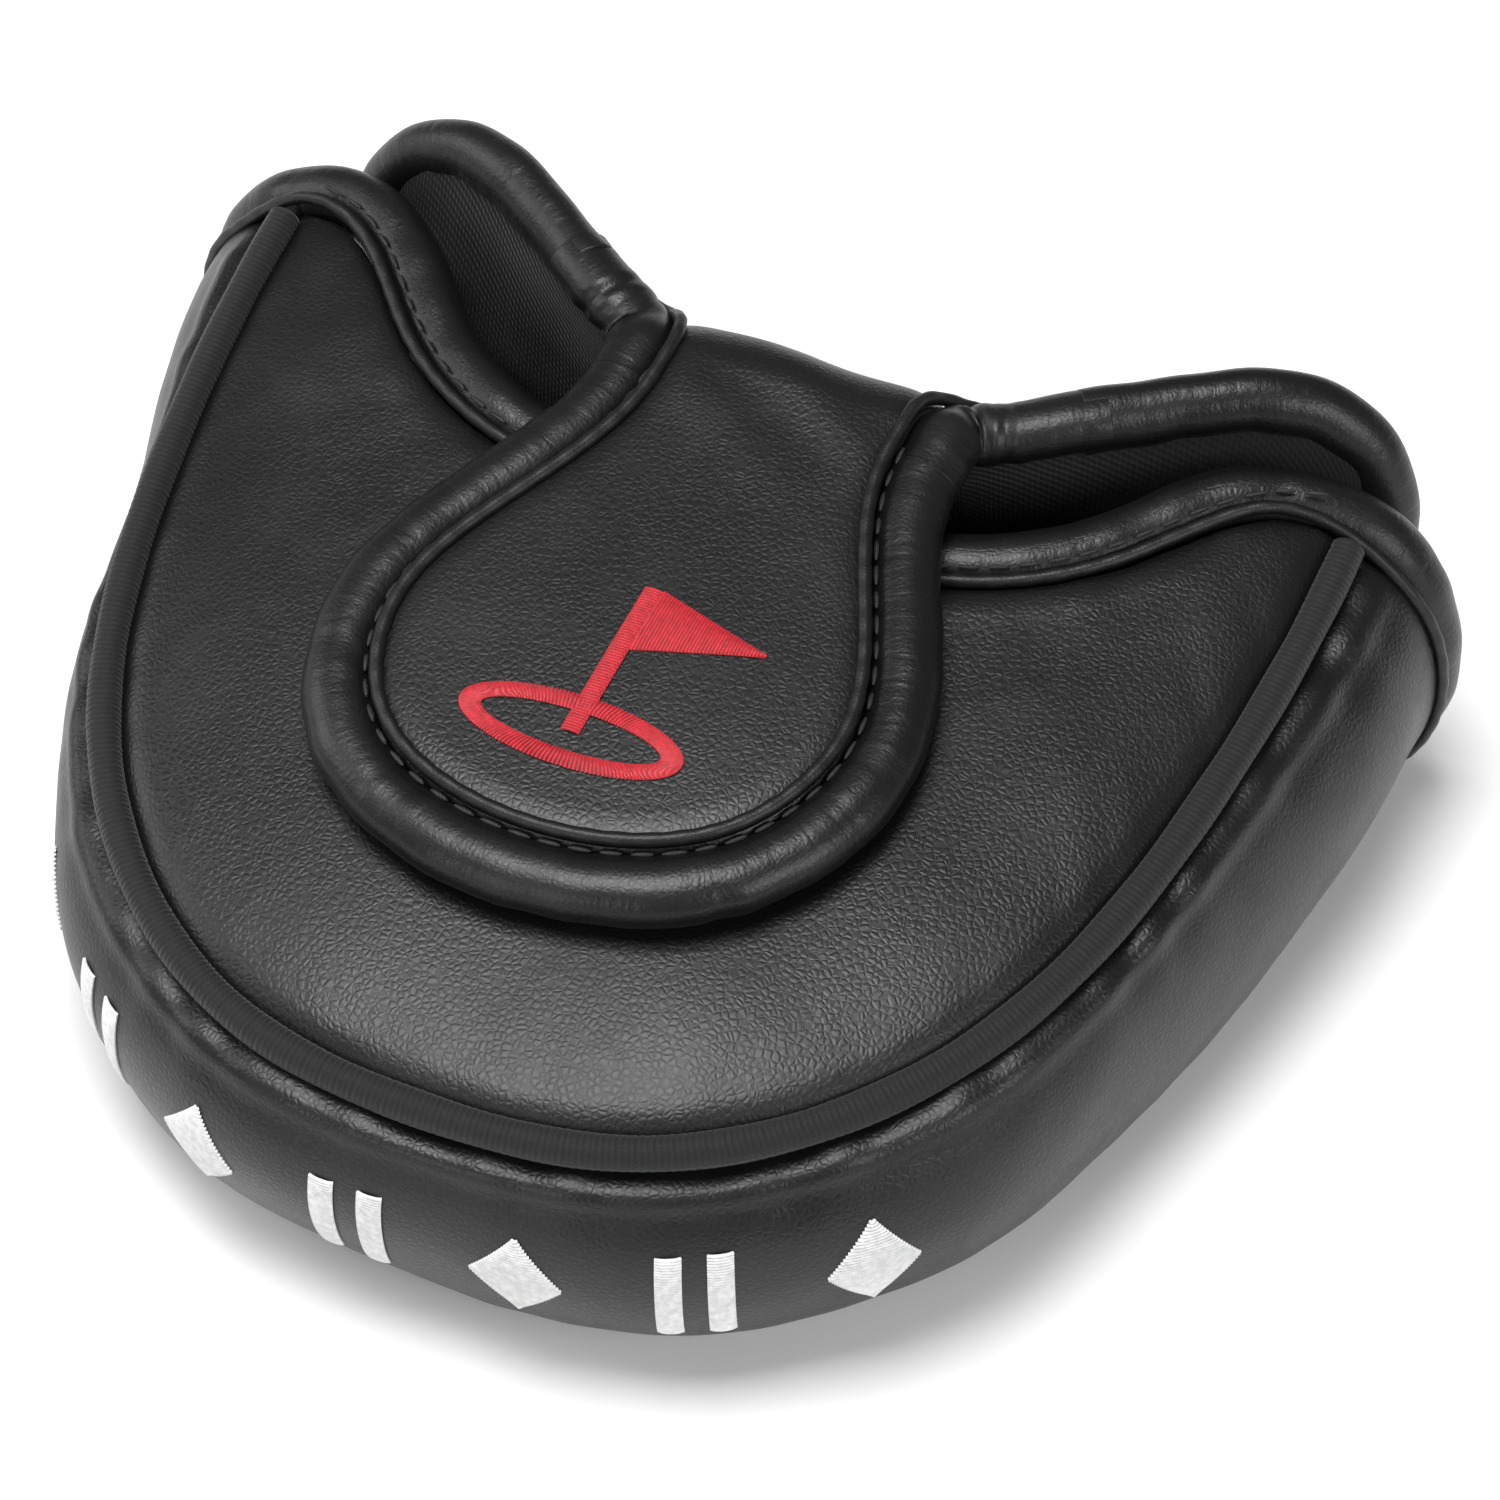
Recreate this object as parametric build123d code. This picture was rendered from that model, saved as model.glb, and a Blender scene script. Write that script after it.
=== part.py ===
from build123d import *
from math import cos, pi, radians, sin, sqrt, tan
import os

# Padded head cover for a mallet putter: a D-shaped pouch that lies on its
# bottom panel, a rear wall that opens backwards from the bottom edge, and a
# tongue-shaped flap that folds over from the top of the rear wall.
# Millimetres. +X runs along the opening, +Y towards the rear wall, +Z up.
# The origin is the middle of the overall bounding box at floor level.

# --- pouch ---------------------------------------------------------------
seam_half_width = 61.5       # top panel seam, at the opening
seam_length = 100.0          # top panel seam, opening to front
belly_half_width = 73.0      # widest line of the gusset
belly_length = 106.5
foot_half_width = 62.0       # bottom panel
foot_length = 97.0
rear_height = 39.0           # top seam above the floor at the opening
top_fall = 4.4               # degrees the top panel drops towards the front
mouth_y = 45.0               # rear ends of the gusset
mouth_overrun = 12.0         # spare length trimmed away at the mouth
fit_gap = 0.3                # between a binding and the panel it edges
run_pitch = 7.0              # spacing of the bends along cords and bindings
lip_gap = 0.7                # between the lip binding and the top panel
wall_cord_lift = 1.7         # cord's centre stands behind the rear wall's skin
wall_cord_inset = 2.6

# --- layers --------------------------------------------------------------
skin = 1.0
foam = 3.0
lining = 0.8
top_foam_height = 3.5
top_edge_round = 4.0
glue_gap = 0.05              # glue on each face of the gusset foam

# --- opening edge of the top panel ---------------------------------------
notch_depth = 25.0           # centre of the opening edge behind the horns
notch_half_width = 24.0
horn_margin = 4.5            # between a horn's tip and the top seam
horn_inset = 2.0             # horns stop this far short of the mouth plane

# --- bindings, cords, piping ---------------------------------------------
lip_radius = 3.3
piping_radius = 2.0
bottom_piping_radius = 1.5
cord_radius = 0.7

# --- flap ----------------------------------------------------------------
flap_skin_thickness = 0.9
flap_foam_thickness = 4.2
flap_backing_thickness = 0.9
fold_inner_radius = 2.0
flap_gap = 0.6               # clear space between flap and top panel
fold_y = 33.0                # hinge line of the flap
fold_stub = 3.0              # straight length of the fold beside the bend
neck_half_width = 18.0       # binding centre line at the fold
neck_flare = 2.5             # how far the neck has widened at neck_flare_at
neck_flare_at = 14.0
tongue_half_width = 29.0     # binding centre line at its widest
tongue_wide_at = 38.0        # ahead of the hinge line
tongue_length = 64.5
tongue_nose_width = 0.76     # rounding of the tongue's end, as shares of its
tongue_nose_at = 0.875       # half width and its length

# --- rear wall -----------------------------------------------------------
wall_lean = 17.0             # degrees, forward at the middle
wing_sweep = 18.0            # wings stand back from the middle
wing_half_width = 61.0
wing_top = 46.0
wing_round = 15.0
wing_corner_in = 0.3         # corner's place, as shares of wing_round
wing_corner_down = 0.35
wing_widest_share = 0.55     # height of the widest line, as a share of wing_top
wing_end_gap = 1.0           # between the wing's end and the fold's binding
wall_foot_half_width = 55.0
foot_gap = 0.3
foot_fold_round = 4.0

# --- magnets and embroidery ----------------------------------------------
magnet_radius = 6.0
magnet_thickness = 1.6
magnet_spacing = 22.0
magnet_y = -14.0
stitch_height = 0.4
flag_height = 19.0
flag_width = 15.0
hole_radius_x = 12.0
hole_radius_y = 4.2
badge_y = -6.0
row_count = 7
row_pitch = 18.0
row_start = -60.0
row_height = 12.0
row_width = 9.5
row_level = 17.0

# --- derived -------------------------------------------------------------
wall = skin + foam + lining
gusset_end_y = mouth_y - lip_radius / 2
gusset_low = 2 * bottom_piping_radius
gusset_high = rear_height - lining - fit_gap
top_height = top_foam_height + skin
flap_thickness = flap_skin_thickness + flap_foam_thickness + flap_backing_thickness
fold_outer_radius = fold_inner_radius + flap_thickness
edge_radius = flap_thickness / 2
horn_x = seam_half_width - horn_margin
fold_mid_radius = fold_inner_radius + flap_thickness / 2
lean_cos = cos(radians(wall_lean))
lean_tan = tan(radians(wall_lean))
fall_tan = tan(radians(top_fall))
fold_z = (rear_height - (mouth_y - fold_y) * fall_tan
          + (top_height + flap_gap - fold_inner_radius) / cos(radians(top_fall)))
foot_y = fold_y + fold_inner_radius / lean_cos + fold_z * lean_tan
wall_depth = flap_thickness / lean_cos
fold_angle = 90 - wall_lean + top_fall
far = 400.0

# D-shaped outline of every horizontal section: share of the half width and
# share of the length from the front, between the front and the rear corner.
d_points = ((0.34, 0.03), (0.75, 0.24), (0.95, 0.61))
belly_points = ((0.34, 0.03), (0.715, 0.24), (0.91, 0.61))

seam_frame = Location((0, mouth_y, rear_height), (top_fall, 0, 0))


def d_edge(half_width, length, bulge=0):
    """Open D-shaped line between the two rear ends of the gusset."""
    front = mouth_y - length
    side = []
    for (a, b), (full, _) in zip(d_points, belly_points):
        side.append((half_width * (a + (full - a) * bulge), front + length * b))
    side.append((half_width, gusset_end_y))
    other = [(-x, y) for x, y in reversed(side)]
    return Spline(*other, (0, front), *side, tangents=((0, -1), (0, 1)))


def d_face(half_width, length):
    """D-shaped face with its straight side past the mouth."""
    edge = d_edge(half_width, length)
    back = mouth_y + mouth_overrun
    rim = Polyline(edge @ 1, (half_width, back), (-half_width, back), edge @ 0)
    return make_face([edge, rim])


def at_level(shape, height, tilt):
    """Place a flat shape at a height, tilted about the mouth line."""
    turn = Pos(0, mouth_y, height) * Rot(tilt, 0, 0) * Pos(0, -mouth_y, 0)
    return turn * shape


def gusset_bulge(share):
    """How far the gusset stands out, from 0 at its seams to 1 halfway up."""
    return sqrt(1 - (2 * share - 1) ** 2)


def gusset_size(share):
    """Half width, length and height of the gusset at a share of its height."""
    bulge = gusset_bulge(share)
    half_width = foot_half_width + (seam_half_width - foot_half_width) * share
    half_width += (belly_half_width - (seam_half_width + foot_half_width) / 2) * bulge
    length = foot_length + (seam_length - foot_length) * share
    length += (belly_length - (seam_length + foot_length) / 2) * bulge
    return half_width, length, gusset_low + (gusset_high - gusset_low) * share


def gusset_layer(near, deep):
    """Layer of the bulging gusset between two depths from its outside."""
    sections = []
    for share in (0, 0.06, 0.22, 0.5, 0.78, 0.94, 1):
        half_width, length, height = gusset_size(share)
        outer = d_edge(half_width - near, length - near, gusset_bulge(share))
        inner = d_edge(half_width - deep, length - deep, gusset_bulge(share))
        ends = [Line(outer @ k, inner @ k) for k in (0, 1)]
        face = make_face([outer, inner] + ends)
        sections.append(at_level(face, height, top_fall * share))
    return loft(sections)


def runs_and_arcs(edge, pitch):
    """Follow a smooth line with straight runs joined by tangent arcs."""
    count = max(round(edge.length / pitch), 4)
    points = [edge @ (index / count) for index in range(count + 1)]
    kept = points[:1]
    for spot, after in zip(points[1:], points[2:]):
        if (spot - kept[-1]).get_angle(after - spot) > 1:
            kept.append(spot)
    kept.append(points[-1])
    radii = []
    for a, b, c in zip(kept, kept[1:], kept[2:]):
        turn = radians((b - a).get_angle(c - b))
        radii.append(0.45 * min((b - a).length, (c - b).length) / tan(turn / 2))
    return FilletPolyline(*kept, radius=radii)


def tube(edge, radius, pitch=run_pitch):
    """Round cord along a smooth line."""
    path = runs_and_arcs(edge, pitch)
    section = Plane(path @ 0, z_dir=path % 0) * Circle(radius)
    return sweep(section, path=path)


def mirrored(points):
    """Left-hand copies of right-hand points, in reverse order."""
    return [(-p[0],) + tuple(p[1:]) for p in reversed(points)]


# --- gusset and bottom ---------------------------------------------------
gusset_skin = gusset_layer(0, skin)
gusset_foam = gusset_layer(skin + glue_gap, skin + foam - glue_gap)
gusset_lining = gusset_layer(skin + foam, wall)

bottom_end = Pos(0, foot_y - foot_gap - far / 2, 0) * Box(far, far, far)


def bottom_layer(inset, low, high):
    """Flat layer of the bottom panel, cut off ahead of the rear wall."""
    face = d_face(foot_half_width - inset, foot_length - inset)
    return Pos(0, 0, low) * extrude(face, high - low) & bottom_end


bottom_rim = bottom_piping_radius + fit_gap
bottom_skin = bottom_layer(bottom_rim, 0, skin)
bottom_foam = bottom_layer(bottom_rim, skin, gusset_low)
bottom_lining = bottom_layer(wall + 2 * fit_gap, gusset_low, gusset_low + lining)


# --- top panel -----------------------------------------------------------
notch_y = mouth_y - notch_depth
horn_y = mouth_y - horn_inset
notch_side = (notch_half_width + horn_x) / 2 + 1
lip_corners = [(notch_half_width, notch_y), (notch_side, (notch_y + horn_y) / 2 - 1.5),
               (horn_x - 5.5, horn_y - 2.5), (horn_x, horn_y)]
lip_line = Spline((0, notch_y - 0.5), *lip_corners, tangents=((1, 0), (1, 0.1)))
lip_shares = (0.18, 0.36, 0.5, 0.62, 0.74, 0.84, 0.93, 1)


def lip_points(offset):
    """Right half of the opening edge, moved outwards by an offset."""
    points = []
    for share in lip_shares:
        run = lip_line % share
        spot = lip_line @ share + Vector(-run.Y, run.X) * offset
        points.append((spot.X, spot.Y))
    return points


def notch_face():
    """Area behind the opening edge of the top panel."""
    reach = belly_half_width + 10
    right = [(v.X, v.Y) for v in (lip_line @ share for share in lip_shares)]
    edge = Spline(*mirrored(right), (0, notch_y - 0.5), *right)
    back = mouth_y + 3 * mouth_overrun
    rim = Polyline(edge @ 1, (reach, (edge @ 1).Y), (reach, back), (-reach, back),
                   (-reach, (edge @ 0).Y), edge @ 0)
    return make_face([edge, rim])


def in_seam_frame(shape):
    """Place a shape drawn in plan onto the seam plane."""
    return seam_frame * Pos(0, -mouth_y, 0) * shape


top_rim = piping_radius + fit_gap


def top_slab(inset, low, high):
    """Flat layer of the top panel, before the opening edge is cut."""
    face = d_face(seam_half_width - inset, seam_length - inset)
    return Pos(0, 0, low) * extrude(face, high - low)


def crown(inset, height, rounding):
    """Top panel with a rounded rim, before the opening edge is cut."""
    block = top_slab(top_rim + inset, 0, height)
    rim = block.edges().group_by(Axis.Z)[-1]
    return fillet(rim, rounding)


notch = Pos(0, 0, -far / 2) * extrude(notch_face(), far)
top_core = crown(skin, top_foam_height, top_edge_round - skin)
top_skin = in_seam_frame(crown(0, top_height, top_edge_round) - top_core - notch)
top_foam = in_seam_frame(top_core - notch)
top_lining = in_seam_frame(top_slab(top_rim, -lining, 0) - notch)

# --- lip binding and cord ------------------------------------------------
lip_level = top_height - lip_radius
lip_out = lip_radius + lip_gap
lip_cord_out = cord_radius + lip_gap
lip_cord_rise = sqrt((lip_radius + cord_radius) ** 2 - (lip_out - lip_cord_out) ** 2)
lip_cord_level = lip_level + lip_cord_rise + 0.1


def seam_point(x, y, level):
    """Point given in plan and by its height over the seam plane."""
    spot = seam_frame * Pos(x, y - mouth_y, level)
    return (spot.position.X, spot.position.Y, spot.position.Z)


def gusset_end(share):
    """Point behind the middle of the gusset's rear end."""
    half_width, _, height = gusset_size(share)
    return (half_width - wall / 2, gusset_end_y + lip_out, height)


lip_half = [seam_point(x, y, lip_level) for x, y in lip_points(lip_out)]
lip_half.extend(gusset_end(share) for share in (0.93, 0.75, 0.5, 0.25, 0.1))
lip_middle = seam_point(0, notch_y - 0.5 + lip_out, lip_level)
lip_path = Spline(*mirrored(lip_half), lip_middle, *lip_half)
lip_binding = tube(lip_path, lip_radius)

cord_half = [seam_point(x, y, lip_cord_level) for x, y in lip_points(lip_cord_out)]
cord_middle = seam_point(0, notch_y - 0.5 + lip_cord_out, lip_cord_level)
lip_cord = tube(Spline(*mirrored(cord_half), cord_middle, *cord_half), cord_radius)


# --- piping --------------------------------------------------------------
def d_path(half_width, length, height, tilt, back):
    """D-shaped line at a height that stops short of the gusset's ends."""
    edge = d_edge(half_width, length)
    share = back / edge.length
    return at_level(edge.trim(share, 1 - share), height, tilt)


top_piping_z = gusset_high + piping_radius + fit_gap
top_piping = tube(d_path(seam_half_width, seam_length, top_piping_z, top_fall,
                         lip_radius / 2 + fit_gap), piping_radius)
bottom_piping = tube(d_path(foot_half_width, foot_length, bottom_piping_radius, 0,
                            fit_gap), bottom_piping_radius)

# --- rear wall -----------------------------------------------------------
wall_base = wall + foot_gap
wall_frame_top = wing_top + 2 * edge_radius


def wall_y(x, z, depth):
    """Y of the rear wall's surface at a depth measured from its inside."""
    run = max(abs(x) - neck_half_width, 0) / (wing_half_width - neck_half_width)
    back = wing_sweep * sin(0.5 * pi * min(run, 1)) ** 1.3
    return foot_y + depth / lean_cos - z * lean_tan + back * z / fold_z


def wall_section(z, near, far_side):
    """Horizontal section of one wall layer."""
    span = wing_half_width + 2 * edge_radius
    xs = [-span, -48, -36, -26, -neck_half_width, 0, neck_half_width, 26, 36, 48, span]
    lines = []
    for depth in (near, far_side):
        lines.append(Spline(*[(x, wall_y(x, z, depth), z) for x in xs]))
    ends = [Line(lines[0] @ k, lines[1] @ k) for k in (0, 1)]
    return make_face(lines + ends)


def wall_layer(near, far_side):
    """One layer of the rear wall before it is trimmed to its outline."""
    return loft([wall_section(0, near, far_side),
                 wall_section(wall_frame_top, near, far_side)])


wing_corner = wing_half_width - wing_round * wing_corner_in
wing_end = neck_half_width + edge_radius + wing_end_gap
wing_half = [
    (wall_foot_half_width, wall_base),
    (wing_half_width, wing_widest_share * wing_top),
    (wing_corner, wing_top - wing_round * wing_corner_down),
    (wing_half_width - wing_round, wing_top),
    ((wing_half_width - wing_round + wing_end) / 2, wing_top),
    (wing_end, wing_top),
]
wing_edge = Spline(*[Vector(x, 0, z) for x, z in wing_half[:4]])
outline = [
    wing_edge,
    Line(wing_edge @ 1, (wing_end, 0, wing_top)),
    Line((wing_end, 0, wing_top), (0, 0, wing_top)),
    Line((0, 0, wing_top), (0, 0, wall_base)),
    Line((0, 0, wall_base), wing_edge @ 0),
]
wing_prism = extrude(make_face(outline), far, dir=(0, 1, 0))
wing_prism = wing_prism + mirror(wing_prism, about=Plane.YZ)
neck_frame = Location((0, fold_y, fold_z), (wall_lean, 0, 0))
neck_cut_width = 2 * (neck_half_width + edge_radius) + 2 * foot_gap
neck_cut = neck_frame * Pos(0, 0, far / 2 - fold_stub) * Box(neck_cut_width, 60, far)

wing_spots = [(x, wall_y(x, z, flap_thickness / 2), z) for x, z in wing_half]
wall_binding_right = tube(Spline(*wing_spots), edge_radius)
wall_binding_left = mirror(wall_binding_right, about=Plane.YZ)
cord_spots = []
for x, z in wing_half:
    in_x = x - (wall_cord_inset if z < wing_top - 1 else 0)
    in_z = z - (wall_cord_inset if z > 0.7 * wing_top else 0)
    cord_spots.append((in_x, wall_y(in_x, in_z, flap_thickness) + wall_cord_lift, in_z))
wall_cord_right = tube(Spline(*cord_spots), cord_radius)
wall_cord_left = mirror(wall_cord_right, about=Plane.YZ)

wall_edges = [wall_binding_left, wall_binding_right]
wall_lining = wall_layer(0, flap_backing_thickness) & wing_prism
wall_foam = wall_layer(flap_backing_thickness,
                       flap_backing_thickness + flap_foam_thickness) & wing_prism
wall_skin = wall_layer(flap_backing_thickness + flap_foam_thickness,
                       flap_thickness) & wing_prism
wall_lining = wall_lining - neck_cut - wall_edges
wall_foam = wall_foam - neck_cut - wall_edges
wall_skin = wall_skin - neck_cut - wall_edges

# --- foot fold: bends when the rear wall opens ---------------------------
foot_section = Pos(foot_y + wall_depth / 2, wall / 2) * Rectangle(wall_depth, wall)
low_rear = foot_section.vertices().sort_by(Axis.Y)[:2].sort_by(Axis.X)[-1]
foot_section = fillet(low_rear, foot_fold_round)
foot_length_x = 2 * (wall_foot_half_width - edge_radius)
foot_fold = extrude(Plane.YZ * foot_section, foot_length_x / 2, both=True)

# --- flap ----------------------------------------------------------------
flap_frame = Location((0, fold_y, fold_z), (top_fall, 0, 0))


tongue_start = (neck_half_width, -fold_stub - 2 * fit_gap)
tongue_corners = [(neck_half_width + neck_flare, -neck_flare_at),
                  (tongue_half_width, -tongue_wide_at),
                  (tongue_half_width * tongue_nose_width, -tongue_length * tongue_nose_at)]
tongue_line = Spline(tongue_start, *tongue_corners, (0, -tongue_length),
                     tangents=((0, -1), (-1, 0)))
tongue_shares = (0, 0.1, 0.22, 0.34, 0.46, 0.58, 0.7, 0.82, 0.92)


def tongue_edge(inset, level):
    """Line around the flap, moved inwards, from one end of the fold to the other."""
    right = []
    for share in tongue_shares:
        run = tongue_line % share
        spot = tongue_line @ share + Vector(run.Y, -run.X) * inset
        right.append((spot.X, spot.Y, level))
    tip = (0, -tongue_length + inset, level)
    return Spline(*right, tip, *mirrored(right), tangents=((0, -1, 0), (0, 1, 0)))


def tongue(low, high, inset):
    """Flap layer between two heights over the hinge line."""
    edge = tongue_edge(inset, low)
    face = make_face([edge, Line(edge @ 1, edge @ 0)])
    return extrude(face, high - low, dir=(0, 0, 1))


panel_inset = edge_radius + fit_gap
skin_inset = panel_inset + 2 * cord_radius
backing_top = fold_inner_radius + flap_backing_thickness
foam_top = backing_top + flap_foam_thickness
flap_binding = tube(tongue_edge(0, fold_mid_radius), edge_radius)
flap_cord = tube(tongue_edge(panel_inset + cord_radius / 2, foam_top + cord_radius + 0.1),
                 cord_radius)
flap_backing = tongue(fold_inner_radius, backing_top, panel_inset)
flap_foam = tongue(backing_top, foam_top, panel_inset)
flap_skin = tongue(foam_top, fold_outer_radius, skin_inset)


# --- fold: bends when the flap lifts -------------------------------------
def fold_shape(section):
    """One solid for a section carried round the fold."""
    parts = []
    upright = Plane.XZ * section
    parts.append(extrude(upright, fold_stub, dir=(0, -1, 0)))
    parts.append(revolve(upright, Axis.X, -fold_angle))
    parts.append(Rot(-fold_angle, 0, 0) * extrude(upright, fold_stub, dir=(0, 1, 0)))
    return parts[0] + parts[1] + parts[2]


edge_section = Pos(neck_half_width, fold_mid_radius) * Circle(edge_radius)
panel_section = Pos(0, fold_mid_radius) * Rectangle(2 * neck_half_width, flap_thickness)
fold_binding_right = fold_shape(edge_section)
fold_binding_left = mirror(fold_binding_right, about=Plane.YZ)
fold_panel = fold_shape(panel_section) - fold_binding_right - fold_binding_left


# --- magnets -------------------------------------------------------------
def magnet(side):
    """Thin disc magnet, standing on its own origin."""
    return Pos(side * magnet_spacing / 2, 0, 0) * Cylinder(
        magnet_radius, magnet_thickness, align=(Align.CENTER, Align.CENTER, Align.MIN))


flap_magnets = []
panel_magnets = []
for side in (-1, 1):
    flap_magnets.append(flap_frame * Pos(0, magnet_y - fold_y, backing_top) * magnet(side))
    low = top_foam_height - magnet_thickness
    panel_magnets.append(seam_frame * Pos(0, magnet_y - mouth_y, low) * magnet(side))
for piece in flap_magnets:
    flap_foam = flap_foam - flap_frame.inverse() * piece
for piece in panel_magnets:
    top_foam = top_foam - piece

# --- embroidery ----------------------------------------------------------
staff = Pos(-2, 0) * Rectangle(1.8, flag_height)
pennant = make_face(Polyline((-1.1, flag_height / 2), (flag_width - 3, flag_height / 2 - 3.6),
                             (-1.1, flag_height / 2 - 8.0), (-1.1, flag_height / 2)))
hole = Pos(-2, -flag_height / 2) * Ellipse(hole_radius_x, hole_radius_y)
hole_inner = Pos(-2, -flag_height / 2) * Ellipse(hole_radius_x - 2.2, hole_radius_y - 1.8)
badge = staff + pennant + (hole - hole_inner)
flap_badge = Pos(0, badge_y - fold_y, fold_outer_radius) * extrude(badge, stitch_height)

row_line = at_level(d_edge(belly_half_width, belly_length, 1), row_level, top_fall / 2)
row_shell = gusset_layer(-stitch_height, 0)
row_middle = row_line.length / 2
gusset_row = []
for index in range(row_count):
    along = row_middle + row_start + row_pitch * index
    spot = row_line.position_at(along, position_mode=PositionMode.LENGTH)
    run = row_line.tangent_at(along, position_mode=PositionMode.LENGTH)
    outward = run.cross(Vector(0, 0, 1))
    face_plane = Plane(origin=spot, x_dir=run, z_dir=outward)
    if index % 2:
        mark = Pos(-2.6, 0) * Rectangle(2.6, row_height) + Pos(2.6, 0) * Rectangle(2.6, row_height)
    else:
        mark = make_face(Polyline((-row_width / 2, 0), (0, row_height / 2), (row_width / 2, 0),
                                  (0, -row_height / 2), (-row_width / 2, 0)))
    prism = extrude(face_plane * mark, 14, both=True)
    gusset_row.append(row_shell & prism)

nodes = {
    "gusset_skin": gusset_skin,
    "gusset_foam": gusset_foam,
    "gusset_lining": gusset_lining,
    "bottom_skin": bottom_skin,
    "bottom_foam": bottom_foam,
    "bottom_lining": bottom_lining,
    "top_skin": top_skin,
    "top_foam": top_foam,
    "top_lining": top_lining,
    "top_piping": top_piping,
    "bottom_piping": bottom_piping,
    "lip_binding": lip_binding,
    "lip_cord": lip_cord,
    "foot_fold": foot_fold,
    "wall_skin": wall_skin,
    "wall_foam": wall_foam,
    "wall_lining": wall_lining,
    "wall_binding_left": wall_binding_left,
    "wall_binding_right": wall_binding_right,
    "wall_cord_left": wall_cord_left,
    "wall_cord_right": wall_cord_right,
    "fold_panel": flap_frame * fold_panel,
    "fold_binding_left": flap_frame * fold_binding_left,
    "fold_binding_right": flap_frame * fold_binding_right,
    "flap_skin": flap_frame * flap_skin,
    "flap_foam": flap_frame * flap_foam,
    "flap_backing": flap_frame * flap_backing,
    "flap_binding": flap_frame * flap_binding,
    "flap_cord": flap_frame * flap_cord,
    "flap_badge": flap_frame * flap_badge,
    "flap_magnet_left": flap_magnets[0],
    "flap_magnet_right": flap_magnets[1],
    "panel_magnet_left": panel_magnets[0],
    "panel_magnet_right": panel_magnets[1],
    "gusset_row": Compound(children=[Compound([s]) for m in gusset_row for s in m.solids()]),
}

os.makedirs("parts", exist_ok=True)
boxes = [shape.bounding_box() for shape in nodes.values()]
middle_y = (min(b.min.Y for b in boxes) + max(b.max.Y for b in boxes)) / 2
for name, shape in nodes.items():
    export_step(Pos(0, -middle_y, 0) * shape, f"parts/{name}.step")
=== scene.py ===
"""Looks of the padded head cover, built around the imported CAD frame."""

import logging
import math
from dataclasses import dataclass
from enum import Enum
from typing import Callable, Iterable, Sequence

import bmesh
import bpy
import numpy as np
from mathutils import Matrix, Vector


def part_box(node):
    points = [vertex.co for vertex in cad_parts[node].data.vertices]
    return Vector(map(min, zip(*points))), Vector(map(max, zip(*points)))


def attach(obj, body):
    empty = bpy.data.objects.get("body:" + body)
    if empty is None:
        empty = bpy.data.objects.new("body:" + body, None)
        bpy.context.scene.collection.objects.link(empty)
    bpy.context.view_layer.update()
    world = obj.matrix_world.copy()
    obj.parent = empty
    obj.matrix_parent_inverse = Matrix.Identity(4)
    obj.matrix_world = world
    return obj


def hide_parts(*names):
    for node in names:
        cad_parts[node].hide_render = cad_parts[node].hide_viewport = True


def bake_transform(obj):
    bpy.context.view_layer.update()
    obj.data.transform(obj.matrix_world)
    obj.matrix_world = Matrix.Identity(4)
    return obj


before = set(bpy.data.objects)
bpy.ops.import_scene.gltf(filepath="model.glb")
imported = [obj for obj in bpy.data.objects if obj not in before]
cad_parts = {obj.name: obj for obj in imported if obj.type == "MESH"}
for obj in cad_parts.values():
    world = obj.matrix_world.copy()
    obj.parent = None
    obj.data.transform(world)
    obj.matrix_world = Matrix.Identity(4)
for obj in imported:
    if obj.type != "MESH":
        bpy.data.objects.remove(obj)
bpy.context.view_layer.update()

logging.basicConfig(level=logging.INFO, format="%(message)s")
LOG = logging.getLogger("head_cover")

MM = 0.001
SEED = 41


class Body(str, Enum):
    """Moving bodies of the cover."""

    POUCH = "pouch"
    WALL = "rear_wall"
    FLAP = "flap"


class Slot(str, Enum):
    """Material slots of the record."""

    LEATHER = "leather"
    BINDING = "binding_leather"
    PIPING = "ribbed_piping"
    LINING = "lining_fabric"
    CORD = "welt_cord"
    RED = "red_thread"
    WHITE = "white_thread"


# --- lines ------------------------------------------------------------------
def spline(points: Sequence, count: int, start: Sequence | None = None,
           end: Sequence | None = None) -> np.ndarray:
    """Evenly spaced samples of a smooth line through points.

    Args:
        points: Places the line passes, in order.
        count: Number of samples.
        start: Direction at the first point, or None to leave it free.
        end: Direction at the last point, or None to leave it free.

    Returns:
        Array of samples, one row each.
    """
    p = np.array(points, float)
    h = np.linalg.norm(np.diff(p, axis=0), axis=1)
    n = len(p)
    a = np.zeros((n, n))
    b = np.zeros_like(p)
    for i in range(1, n - 1):
        a[i, i - 1] = 1 / h[i - 1]
        a[i, i] = 2 / h[i - 1] + 2 / h[i]
        a[i, i + 1] = 1 / h[i]
        b[i] = 3 * ((p[i] - p[i - 1]) / h[i - 1] ** 2 + (p[i + 1] - p[i]) / h[i] ** 2)
    for row, other, given, edge in ((0, 1, start, 0), (n - 1, n - 2, end, n - 2)):
        if given is None:
            a[row, row], a[row, other] = 2, 1
            b[row] = 3 * (p[edge + 1] - p[edge]) / h[edge]
        else:
            a[row, row] = 1
            b[row] = np.array(given, float) / np.linalg.norm(given)
    m = np.linalg.solve(a, b)
    out = []
    for i in range(n - 1):
        t = np.linspace(0, 1, 60, endpoint=i == n - 2)[:, None]
        out.append((2 * t ** 3 - 3 * t ** 2 + 1) * p[i] + (t ** 3 - 2 * t ** 2 + t) * h[i] * m[i]
                   + (3 * t ** 2 - 2 * t ** 3) * p[i + 1] + (t ** 3 - t ** 2) * h[i] * m[i + 1])
    return even(np.vstack(out), count)


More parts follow.
